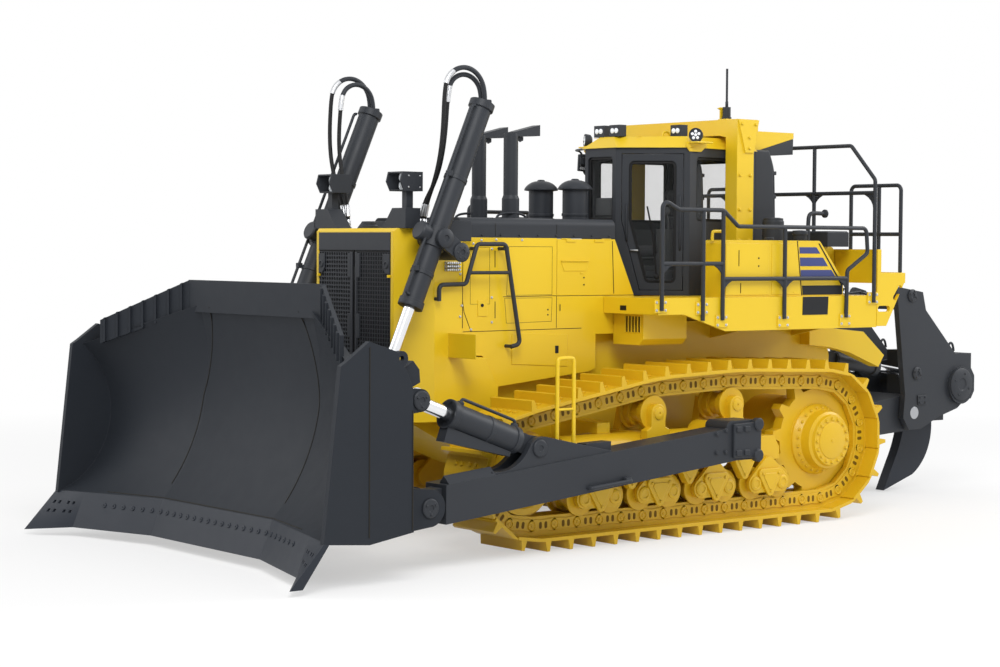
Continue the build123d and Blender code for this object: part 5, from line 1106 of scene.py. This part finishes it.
class OBJECT_OT_dozer_decks(bpy.types.Operator):
    """Rail feet, webs, stripes, plates, tank doors and caps of the decks"""

    bl_idname = "object.dozer_decks"
    bl_label = "Deck fittings"

    def execute(self, context):
        feet = [(404, 2252), (-146, 2226), (-416, 2096), (-1290, 2080), (-2210, 2080), (-2635, 2300)]
        plates = [block((x - 82, 1498, z - 64), (x + 82, 1512, z + 64), 4) for x, z in feet]
        fit(plates, "rail_foot_plates", "yellow")
        heads = [(x + a, z + b) for x, z in feet for a in (-58, 58) for b in (-38, 38)]
        fit([stamped(bolt(15), side_seats(heads, 1511))], "rail_foot_bolts", "pin_steel", "zinc")
        corners = [((-416, 2514), -1), ((-1290, 2514), 1), ((-1290, 2514), -1), ((-2212, 2514), 1),
                   ((-416, 2665), 1), ((404, 2665), -1)]
        webs = [self.web(corner, hand) for corner, hand in corners]
        fit(webs, "rail_webs", "charcoal")
        cross = [self.web((y, 3410), hand, "x") for y, hand in ((654, -1), (654, 1), (1500, -1), (-654, 1),
                (-654, -1), (-1500, 1))]
        dress(merged(cross), "rear_rail_webs", TRACTOR, "charcoal")
        self.stripes()
        self.tank()
        self.platform()
        return {"FINISHED"}

    def web(self, corner, hand, axis="y", wide=235, tall=170):
        """A flat web with a hollow curve under a rail, beside a post."""
        u, v = corner
        curve = [(u + hand * wide * (1 - math.sin(step * math.pi / 12)),
                  v - tall * (1 - math.cos(step * math.pi / 12)))
                 for step in range(0, 7)]
        outline = [(u, v)] + curve
        depth = (1514, 1528) if axis == "y" else (-2642, -2628)
        return plate(outline, axis, *depth, 1.5)

    def stripes(self):
        """Three blue stripes, cut on the slope of the tank, over a blank dark plate."""
        bands = (((-1552, 2833), (-1805, 2833), (-1862, 2768), (-1556, 2768)),
                 ((-1561, 2727), (-1905, 2727), (-1979, 2639), (-1568, 2639)),
                 ((-1574, 2600), (-2032, 2600), (-2130, 2492), (-1583, 2492)))
        pieces = [plate(list(band), "y", TANK_FACE, 1473, 1) for band in bands]
        fit(pieces, "blue_stripes", None, "stripe")
        dark = [plate([(-1597, 2440), (-2200, 2440), (-2200, 2345), (-1606, 2345)], "y", TANK_FACE, 1475, 2)]
        fit(dark, "blank_side_plates", "charcoal", "blank")
        low = plate([(-1580, 2325), (-1960, 2325), (-1950, 2140), (-1575, 2140)], "y", 1499, 1505, 2)
        fit([low], "blank_skirt_plates", "charcoal", "blank")
        lines = [plate([(-1516, 2896), (-1528, 2896), (-1600, 2340), (-1588, 2340)], "y", TANK_FACE, 1472, 0)]
        lines.append(plate([(-1832, 2872), (-1850, 2872), (-2210, 2440), (-2186, 2440)], "y", TANK_FACE, 1473,
                           0))
        fit(lines, "tank_edge_seals", "charcoal", "seal")

    def tank(self):
        """Doors, hinges and latches of the side tank, the caps on it and the pipe behind it."""
        doors = [plate([(-500, 2872), (-1100, 2872), (-1110, 2520), (-500, 2520)], "y", TANK_FACE, 1476, 3),
                 plate([(-500, 2500), (-1110, 2500), (-1115, 2350), (-500, 2350)], "y", TANK_FACE, 1476, 3),
                 plate([(-1150, 2872), (-1490, 2872), (-1555, 2350), (-1150, 2350)], "y", TANK_FACE, 1475, 3)]
        fit(doors, "tank_doors", "yellow")
        dark = [block((-684, 1474, 2640), (-676, 1480, 2800), 2),
                block((-712, 1474, 2370), (-704, 1480, 2470), 2)]
        dark += [knob([(9, 0), (9, 5), (4, 6)], -960, 1474, z, 10) for z in (2720, 2640)]
        fit(dark, "tank_latches", "charcoal", "gap")
        places = [(x, z) for x in (-530, -1080, -1180, -1470) for z in (2850, 2375)]
        fit([side_bolts("side_tank_left", places, 9)], "tank_bolts", "yellow")
        caps = [turned([(70, 0), (70, 60), (82, 64), (82, 96), (74, 106), (16, 110)], (-1700, 1335, 2898)),
                turned([(50, 0), (50, 24), (42, 32), (10, 34)], (-1250, 1335, 2898))]
        bend = pipe([(-1962, 1200, 2838), (-1962, 1200, 3100), (-1985, 1200, 3186), (-2080, 1200, 3190),
                     (-2200, 1200, 3186)], 22)
        caps += [bend, turned([(22, 0), (44, 10), (44, 26), (20, 34)], (-2200, 1200, 3186), (-1, 0, 0))]
        caps.append(turned([(112, 0), (112, 260), (104, 270), (104, 292), (60, 300)], (-1610, 1040, 2838)))
        dress(merged(caps), "tank_caps_and_breather", TRACTOR, "charcoal")
        hoop = pipe([(-440, 1340, 2888), (-440, 1340, 2950), (-446, 1340, 2982), (-480, 1340, 2986),
                     (-560, 1340, 2986), (-594, 1340, 2982),
                     (-600, 1340, 2950), (-600, 1340, 2888)], 16)
        fit([hoop], "tank_grab_hoops", "yellow")

    def platform(self):
        """Tread bars on the decks and rear platforms, and the tail lamps."""
        bars = []
        for x in range(-2660, 400, 90):
            bars.append(block((x, 1190 if x > -480 else 1480, 2329), (x + 14, 1494, 2334), 1.5))
        for x in range(-3120, -2780, 60):
            bars.append(block((x, 720, 2566), (x + 14, 1490, 2572), 1.5))
        fit(bars, "tread_bars", "yellow")
        lamps = [block((-2720, y, 2640), (-2775, y + 130, 2740), 10) for y in (980, 1200)]
        fit(lamps, "tail_lamp_boxes", "charcoal")
        lens = turned([(34, 0), (36, 10), (30, 14), (2, 18)], sides=20)
        seats = [seat(spot(-2774, y, 2690), (-1, 0, 0)) for y in (1045, 1265)]
        fit([stamped(lens, seats)], "tail_lamp_lenses", "glass", "lens")


class OBJECT_OT_dozer_tracks(bpy.types.Operator):
    """Links, pins and shoe bolts of both chains"""

    bl_idname = "object.dozer_tracks"
    bl_label = "Chain links"

    def execute(self, context):
        pins = self.chain_pins()
        pin = turned([(46, 0), (46, 10), (38, 14), (34, 6), (14, 6), (12, 12), (3, 12)], sides=20)
        fit([stamped(pin, side_seats(pins, CHAIN_FACE + 10))], "chain_pins", "track_steel")
        links, studs = [], []
        for start, end in zip(pins, pins[1:] + pins[:1]):
            way = Vector((end[0] - start[0], end[1] - start[1]))
            middle = Vector(((start[0] + end[0]) / 2, (start[1] + end[1]) / 2))
            turn = Matrix.Rotation(-math.atan2(way.y, way.x), 4, "Y")
            links.append(Matrix.Translation(spot(middle.x, CHAIN_FACE, middle.y)) @ turn)
            out = Vector((way.y, -way.x)).normalized()
            top = middle + out * 132
            aim = Vector((out.x, 0, out.y))
            for y in (1105, 1190, 1310, 1395):
                place = top - way.normalized() * 40
                studs.append(seat(spot(place.x, y, place.y), aim))
        fit([stamped(self.link(way.length), links)], "chain_link_plates", "track_steel")
        # The link holes are thin inlays in the recess paint: painted shade for the dark inside the openings.
        fit([stamped(self.link_hole(), links)], "chain_link_holes", "track_steel", "recess")
        nut = turned([(24, 0), (24, 14), (18, 18)], sides=6)
        fit([stamped(nut, studs)], "shoe_bolts", "track_steel")
        return {"FINISHED"}

    def link(self, pitch):
        """Outer plate of a link at the origin, along x: a waisted bar with a round eye at each end."""
        reach, eye, waist = pitch / 2, 66, 50
        outline = []
        for side, start in ((1, -math.pi / 2), (-1, math.pi / 2)):
            for step in range(7):
                angle = start + 0.35 + (math.pi - 0.7) * step / 6
                outline.append((side * (reach - 16) + eye * math.cos(angle) * 0.9, eye * math.sin(angle)))
            outline.append((0, side * waist))
        piece = plate(outline, "y", 0, 11, 3)
        piece.data.transform(Matrix.Translation(-spot(0, 0, 0)))
        return piece

    def link_hole(self):
        """Two upright oval openings in a link's plate, as thin inlays in painted shade."""
        holes = []
        for middle in (-33, 33):
            outline = []
            for side, start in ((1, 0.0), (-1, math.pi)):
                for step in range(6):
                    angle = start + math.pi * step / 5
                    outline.append((middle + 17 * math.cos(angle), side * 16 + 17 * math.sin(angle)))
            holes.append(plate(outline, "y", 10.2, 12, 0))
        piece = merged(holes)
        piece.data.transform(Matrix.Translation(-spot(0, 0, 0)))
        return piece

    def chain_pins(self):
        """Pins in x and z, spaced evenly on the belt round the sprocket, the idler and the carrier rollers."""
        wheels = ((*SPROCKET, 610), (*IDLER, 480), (*CARRIERS[1], 235), (*CARRIERS[0], 235))
        spans = []
        for (x0, z0, r0), (x1, z1, r1) in zip(wheels, wheels[1:] + wheels[:1]):
            reach = math.hypot(x1 - x0, z1 - z0)
            spans.append((math.atan2(z1 - z0, x1 - x0) - math.acos((r0 - r1) / reach),
                          math.sqrt(reach**2 - (r0 - r1) ** 2)))
        runs = []
        for index, (lean, length) in enumerate(spans):
            following = (index + 1) % len(wheels)
            runs.append((length, index, lean, 0.0))
            bend = (spans[following][0] - lean) % (2 * math.pi)
            runs.append((bend * wheels[following][2], following, lean, bend))
        pitch = sum(run[0] for run in runs) / SHOES
        pins = []
        for count in range(SHOES):
            rest = count * pitch
            for length, index, lean, bend in runs:
                if rest <= length:
                    x, z, radius = wheels[index]
                    turn = lean + bend * rest / length
                    ahead = 0.0 if bend else rest
                    pins.append((x + radius * math.cos(turn) - ahead * math.sin(lean),
                                 z + radius * math.sin(turn) + ahead * math.cos(lean)))
                    break
                rest -= length
        return pins


class OBJECT_OT_dozer_undercarriage(bpy.types.Operator):
    """Hub caps, bolt circles and cover plates of the wheels and rollers"""

    bl_idname = "object.dozer_undercarriage"
    bl_label = "Undercarriage fittings"

    def execute(self, context):
        y = outside("sprockets", *SPROCKET)
        hub = [side_bolts("sprockets", circle_of(SPROCKET, 225, 16), 21)]
        hub.append(knob([(190, 0), (190, 5), (180, 9), (18, 9), (16, 18), (3, 18)], SPROCKET[0], y - 1,
                        SPROCKET[1], 40))
        fit(hub, "final_drive_bolts", "undercarriage")
        fit([side_bolts("sprockets", circle_of(SPROCKET, 330, 24, 0.1), 18)], "sprocket_bolts",
            "undercarriage")
        places = [("bogies", (x, 445), [(72, 0), (72, 10), (60, 18), (40, 20), (36, 12), (3, 12)])
                  for x in (-1330, -950, -570, -190, 190, 570, 950, 1330)]
        places += [("carrier_rollers", place, [(80, 0), (80, 12), (62, 22), (30, 24), (26, 14), (3, 14)])
                   for place in CARRIERS]
        places.append(("idlers", IDLER, [(120, 0), (120, 14), (96, 24), (40, 26), (34, 14), (3, 14)]))
        caps = [knob(profile, x, outside(node, x, z) - 1, z) for node, (x, z), profile in places]
        fit(caps, "roller_caps", "undercarriage")
        self.covers()
        return {"FINISHED"}

    def covers(self):
        """Three-cornered covers over and between the rollers, and brackets of the carrier rollers."""
        plates, heads, insets = [], [], []
        places = [("bogies", x, 470, 118) for x in (-1140, -380, 380, 1140)]
        places += [("track_frames", x, 640, 92) for x in (-760, 0, 760)]
        for node, x, z, size in places:
            y = outside(node, x, z if node == "bogies" else z + 160)
            thick = 26 if node == "bogies" else 90
            plates.append(plate(self.rounded_triangle(x, z, size, 50), "y", y - 1, y + thick, 8))
            insets.append(plate(self.rounded_triangle(x, z, size * 0.6, 30), "y", y + thick - 2,
                                y + thick + 8, 4))
            corners = [(x + size * a, z + size * b) for a, b in ((-0.95, 0.62), (0.95, 0.62), (0, -0.92))]
            heads += side_seats(corners, y + thick - 1)
        fit(plates + insets, "bogie_covers", "undercarriage")
        fit([stamped(bolt(17), heads)], "bogie_bolts", "undercarriage")
        brackets = []
        for x, z in CARRIERS:
            end = outside("carrier_rollers", x, z)
            crown = [(x + 92 * math.cos(step * math.pi / 8),
                      z + 92 * math.sin(step * math.pi / 8)) for step in range(9)]
            foot = [(x - 92, z - 130), (x - 150, z - 160), (x - 150, z - 330), (x + 150, z - 330),
                    (x + 150, z - 160), (x + 92, z - 130)]
            brackets.append(plate(crown + foot, "y", end - 60, end + 34, 8))
            brackets.append(knob([(60, 0), (60, 12), (44, 18), (14, 18), (12, 10), (3, 10)], x, end + 32, z))
        fit(brackets, "carrier_brackets", "undercarriage")

    def rounded_triangle(self, x, z, size, corner):
        """Outline of a three-cornered plate, its flat side up."""
        outline = []
        for a, b, start, end in ((0, -0.92, 212.7, 327.3), (0.95, 0.62, -32.7, 90), (-0.95, 0.62, 90, 212.7)):
            for step in range(6):
                angle = math.radians(start + (end - start) * step / 5)
                outline.append((x + size * a + corner * math.cos(angle),
                                z + size * b + corner * math.sin(angle)))
        return outline


class OBJECT_OT_dozer_blade(bpy.types.Operator):
    """Edge bolts, plate seams, weld beads and pins of the blade"""

    bl_idname = "object.dozer_blade"
    bl_label = "Blade fittings"

    def execute(self, context):
        flat = turned([(25, -4), (25, 5), (20, 9), (8, 9), (7, 3)], sides=12)
        hits = [land("cutting_edges", (6500, y, 315), (-1, 0, 0)) for y in range(60, 1720, 122)]
        fit([stamped(flat, [seat(*hit) for hit in hits])], "edge_bolts", "wear_steel", body="blade_body")
        lines = [self.bead(((760, 2235), (985, 1400), (975, 445))),
                 self.bead([(y, 440) for y in range(0, 1900, 190)])]
        fit(lines, "blade_seams", "charcoal", "gap", body="blade_body")
        runs = (((3985, 450), (3985, 1450)), ((4425, 420), (4425, 1990)))
        fit([self.side_bead(run) for run in runs], "end_plate_seams", "charcoal", "gap", body="blade_body")
        self.pins()
        return {"FINISHED"}

    def bead(self, points):
        """A low weld bead on the front of the blade, through points in y and z."""
        route = []
        for (y0, z0), (y1, z1) in zip(points, points[1:]):
            for step in range(8):
                share = step / 8
                start = (6500, y0 + (y1 - y0) * share + 0.5, z0 + (z1 - z0) * share)
                hit, place, _, _ = frame["nodes"]["blade"].ray_cast(spot(*start), Vector((-1, 0, 0)))
                if hit:
                    route.append(place)
        return tube_along("bead", route, 0.005)

    def side_bead(self, points):
        """A weld bead on the outer face of the end plate."""
        route = [land("blade", (x, FAR_LEFT, z), INWARD)[0] for x, z in points]
        return tube_along("bead", route, 0.006, smooth=False)

    def pins(self):
        """Round caps with a locking bolt on the pins between the blade, the arms and the braces."""
        caps, heads = [], []
        for x, z in ((3498, 558), (3585, 1494)):
            y = outside("blade", x, z)
            caps.append(knob(dished(86), x, y - 1, z, 32))
            heads += side_seats(circle_of((x, z), 54, 3, 0.5), y + 20)
        fit(caps, "blade_pin_caps", "charcoal", body="blade_body")
        fit([stamped(bolt(13), heads)], "blade_pin_bolts", "charcoal", body="blade_body")


class OBJECT_OT_dozer_cylinders(bpy.types.Operator):
    """Glands, bands, pipes and head blocks of every hydraulic cylinder"""

    bl_idname = "object.dozer_cylinders"
    bl_label = "Cylinder fittings"

    def execute(self, context):
        yoke, eye, y = (2684, 2894), (3600, 800), 900
        parts = [sleeve(yoke, eye, y, 640, [(107, 0), (120, 4), (120, 44), (107, 50)]),
                 sleeve(yoke, eye, y, -1388, [(107, 0), (121, 4), (121, 70), (107, 78)]),
                 sleeve(yoke, eye, y, -620, [(107, 0), (112, 3), (112, 40), (107, 44)]),
                 sleeve(yoke, eye, y, 330, [(107, 0), (112, 3), (112, 40), (107, 44)])]
        route = beside(yoke, eye, y + 60,
                       ((-1300, 112), (-1300, 140), (-1200, 136), (560, 136), (600, 136), (600, 100)))
        parts.append(pipe(route, 15))
        for run in (-620, 330):
            x, z = along(yoke, eye, run + 22, 128)
            parts.append(block((x - 26, y + 35, z - 26), (x + 26, y + 85, z + 26), 6))
        parts.append(block((2070, y - 70, 4140), (2190, y + 70, 4190), 12))
        parts.append(turned([(92, 100), (92, 190), (80, 204), (40, 206)], (yoke[0], y, yoke[1]),
                            (0.916, 0, 0.4), 28))
        fit(parts, "lift_cylinder_fittings", "charcoal", body="lift_barrels")
        outer = max(corner.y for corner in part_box("lift_yokes")) * 1000
        arm = (2499, 2764)
        boss = [knob([(90, 0), (90, 16), (76, 26), (30, 28), (26, 18), (3, 18)], x, outer - 1, z,
                     28) for x, z in (yoke, arm)]
        studs = side_seats(circle_of(arm, 56, 6), outer + 22)
        boss.append(stamped(bolt(11), studs))
        fit(boss, "yoke_caps", "charcoal")
        foot, head, y = (2255, 1010), (3585, 1494), 1790
        parts = [sleeve(foot, head, y, 960, [(122, 0), (136, 5), (136, 50), (122, 55)]),
                 sleeve(foot, head, y, 520, [(122, 0), (127, 3), (127, 46), (122, 50)]),
                 sleeve(foot, head, y, 200, [(122, 0), (130, 5), (130, 56), (122, 60)])]
        for run in (250, 900):
            x, z = along(foot, head, run, 110)
            parts.append(turned([(34, 0), (34, 30), (26, 38)], (x, y, z), (-0.342, 0, 0.94), 16))
        route = beside(foot, head, y, ((900, 140), (900, 172), (840, 172), (330, 172), (250, 172),
                (250, 140)))
        parts.append(pipe(route, 15))
        fit(parts, "brace_cylinder_fittings", "charcoal", body="brace_barrels")
        self.ripper()
        return {"FINISHED"}

    def ripper(self):
        """Glands and pipes of the four cylinders of the ripper."""
        y = 375
        lines = (("ripper_lift", (-2930, 1640), (-4480, 1400)), ("ripper_tilt", (-2780, 2140), (-4380, 2290)))
        for name, foot, eye in lines:
            parts = [sleeve(foot, eye, y, 985, [(87, 0), (97, 4), (97, 46), (87, 50)]),
                     sleeve(foot, eye, y, 345, [(87, 0), (95, 4), (95, 40), (87, 44)])]
            route = beside(foot, eye, y, ((380, -80), (380, -112), (430, -112), (900, -112), (950, -112),
                    (950, -80)))
            parts.append(pipe(route, 11))
            fit(parts, f"{name}_fittings", "charcoal", body=f"{name}_barrels")


class OBJECT_OT_dozer_arms(bpy.types.Operator):
    """Step bars, trunnion bolts and pin caps of the push arms"""

    bl_idname = "object.dozer_arms"
    bl_label = "Push arm fittings"

    def execute(self, context):
        y = ARM_FACE
        step = [pipe([(1690, y - 8, 617), (1690, y + 46, 617), (1660, y + 50, 619), (1230, y + 50, 655),
                      (1198, y + 46, 658),
                      (1198, y - 8, 658)], 20), block((1205, y - 2, 630), (1275, y + 62, 690), 8)]
        fit(step, "arm_step_bars", "charcoal", body="push_frame")
        cap = [plate([(-150, 790), (-150, 1120), (-500, 1130), (-520, 1100), (-520, 800), (-490, 775)], "y",
                     y - 2, y + 34, 10)]
        cap += [knob([(62, 0), (62, 52), (50, 62), (20, 64)], -470, y, z) for z in (800, 1105)]
        cap += [block((x, y + 30, z), (x + 70, y + 52, z + 54), 8) for x in (-240, -350) for z in (810, 1040)]
        fit(cap, "trunnion_caps", "charcoal", body="push_frame")
        y = 1740
        top = [land("push_arms", (x, y, 3000), (0, 0, -1))[0].z * 1000 for x in (1900, 1700)]
        hoop = [pipe([(1900, y, top[0] - 4), (1900, y, 1725), (1895, y, 1795), (1850, y, 1803),
                      (1750, y, 1803),
                      (1705, y, 1795), (1700, y, 1725), (1700, y, top[1] - 4)], 19),
                pipe([(1900, y, 1330), (1700, y, 1330)], 13, smooth=False)]
        hoop += [block((x - 48, y - 40, z - 3), (x + 48, y + 40, z + 14), 4) for x, z in zip((1900, 1700),
                top)]
        fit(hoop, "arm_grab_hoops", "yellow", body="push_frame")
        places = ((-60, 1060), (-60, 850), (60, 1030), (60, 850))
        fit([side_bolts("push_arms", places, 24)], "trunnion_bolts", "charcoal", body="push_frame")
        x, z = 2255, 1010
        cap = knob(dished(80), x, outside("push_arms", x, z) - 1, z, 32)
        fit([cap], "brace_pin_caps", "charcoal", body="push_frame")
        return {"FINISHED"}


class OBJECT_OT_dozer_ripper(bpy.types.Operator):
    """Pin heads, bolt plate, lug and push-block bolts of the ripper"""

    bl_idname = "object.dozer_ripper"
    bl_label = "Ripper fittings"

    def execute(self, context):
        caps, heads = [], []
        for x, z, radius in ((-4380, 2290, 74), (-4480, 1400, 74), (-5212, 1253, 190)):
            y = outside("ripper_beam", x, z)
            profile = [(radius, 0), (radius, 14), (radius - 12, 22), (radius * 0.4, 24), (radius * 0.35, 14),
                       (3, 14)]
            caps.append(knob(profile, x, y - 1, z, 32))
            heads += side_seats(circle_of((x, z), radius * 0.7, 4, 0.4), y + 20)
        y = outside("ripper_beam", -4565, 1090)
        caps.append(plate([(-4640, 1040), (-4500, 1040), (-4490, 1150), (-4640, 1150)], "y", y - 1, y + 14,
                          4))
        heads += side_seats([(x, z) for x in (-4615, -4525) for z in (1065, 1125)], y + 13)
        caps.append(pipe([(-5060, 515, 1640), (-5075, 515, 1735), (-5150, 515, 1735), (-5165, 515, 1640)],
                         14))
        fit(caps, "ripper_pin_caps", "charcoal", body="ripper_head")
        fit([stamped(bolt(14), heads)], "ripper_bolts", "charcoal", body="ripper_head")
        return {"FINISHED"}


class DozerStage(bpy.types.PropertyGroup):
    """Where the camera stands and how bright the studio is"""

    position: bpy.props.FloatVectorProperty(name="Camera position", description="Place of the camera",
            subtype="XYZ",
                                            unit="LENGTH", default=(14.8392, 16.7594, 2.8261))
    azimuth: bpy.props.FloatProperty(name="Azimuth", description="Heading of the camera's back",
            subtype="ANGLE",
                                     default=0.6723)
    elevation: bpy.props.FloatProperty(name="Elevation", description="Tilt of the camera's back",
            subtype="ANGLE",
                                       default=0.0402)
    roll: bpy.props.FloatProperty(name="Roll", description="Turn about the line of sight", subtype="ANGLE",
                                  default=0.0063)
    lens: bpy.props.FloatProperty(name="Lens", description="Focal length in millimetres", default=77.49)
    shift: bpy.props.FloatVectorProperty(name="Shift", description="Lens shift, as a share of the width",
            size=2,
                                         default=(0.0057, -0.001))
    world_light: bpy.props.FloatProperty(name="World light", description="Strength of the even light",
            default=0.62)


class DozerColours(bpy.types.PropertyGroup):
    """Colours of the paint"""

    yellow: bpy.props.FloatVectorProperty(name="Yellow",
            description="Paint of the body, the cab's roof and the decks",
                                          default=(0.79, 0.55, 0.014), min=0.0, max=1.0, subtype="COLOR")
    charcoal: bpy.props.FloatVectorProperty(name="Charcoal",
            description="Paint of the hood, the cab and the cylinders",
                                            default=(0.034, 0.038, 0.045), min=0.0, max=1.0, subtype="COLOR")
    stripe: bpy.props.FloatVectorProperty(name="Stripe",
            description="Colour of the three stripes on the tanks",
                                          default=(0.033, 0.05, 0.2), min=0.0, max=1.0, subtype="COLOR")


class DozerHoses(bpy.types.PropertyGroup):
    """Size of the lift cylinders' hoses"""

    diameter: bpy.props.FloatProperty(name="Diameter", description="Outside of a hose", unit="LENGTH",
            default=0.04)
    length: bpy.props.FloatProperty(name="Length", description="Cut length of an outer hose", unit="LENGTH",
            default=2.09)
    lower_length: bpy.props.FloatProperty(name="Inner length", description="Cut length of an inner hose",
            unit="LENGTH",
                                          default=1.94)


class DozerGrille(bpy.types.PropertyGroup):
    """Holes of the radiator's perforated sheets"""

    pitch: bpy.props.FloatProperty(name="Hole pitch", description="Distance between holes", unit="LENGTH",
            default=0.04)


class VIEW3D_PT_dozer(bpy.types.Panel):
    """Steps that dress the bulldozer"""

    bl_label = "Bulldozer"
    bl_idname = "VIEW3D_PT_dozer"
    bl_space_type = "VIEW_3D"
    bl_region_type = "UI"
    bl_category = "Bulldozer"

    def draw(self, context):
        for step in STEPS:
            self.layout.operator(step.bl_idname)


STEPS = (
    OBJECT_OT_dozer_stage,
    OBJECT_OT_dozer_finishes,
    OBJECT_OT_dozer_hoses,
    OBJECT_OT_dozer_grille,
    OBJECT_OT_dozer_hood,
    OBJECT_OT_dozer_cab,
    OBJECT_OT_dozer_seat,
    OBJECT_OT_dozer_decks,
    OBJECT_OT_dozer_tracks,
    OBJECT_OT_dozer_undercarriage,
    OBJECT_OT_dozer_blade,
    OBJECT_OT_dozer_cylinders,
    OBJECT_OT_dozer_arms,
    OBJECT_OT_dozer_ripper,
)
GROUPS = {"dozer_stage": DozerStage, "dozer_colours": DozerColours, "dozer_hoses": DozerHoses,
          "dozer_grille": DozerGrille}


def register():
    for group in GROUPS.values():
        bpy.utils.register_class(group)
    for name, group in GROUPS.items():
        setattr(bpy.types.Scene, name, bpy.props.PointerProperty(type=group))
    for step in STEPS:
        bpy.utils.register_class(step)
    bpy.utils.register_class(VIEW3D_PT_dozer)


def unregister():
    bpy.utils.unregister_class(VIEW3D_PT_dozer)
    for step in reversed(STEPS):
        bpy.utils.unregister_class(step)
    for name, group in GROUPS.items():
        delattr(bpy.types.Scene, name)
        bpy.utils.unregister_class(group)


def main():
    register()
    bpy.ops.object.select_all(action="DESELECT")
    for step in STEPS:
        group, name = step.bl_idname.split(".")
        getattr(getattr(bpy.ops, group), name)()


if __name__ == "__main__":
    main()
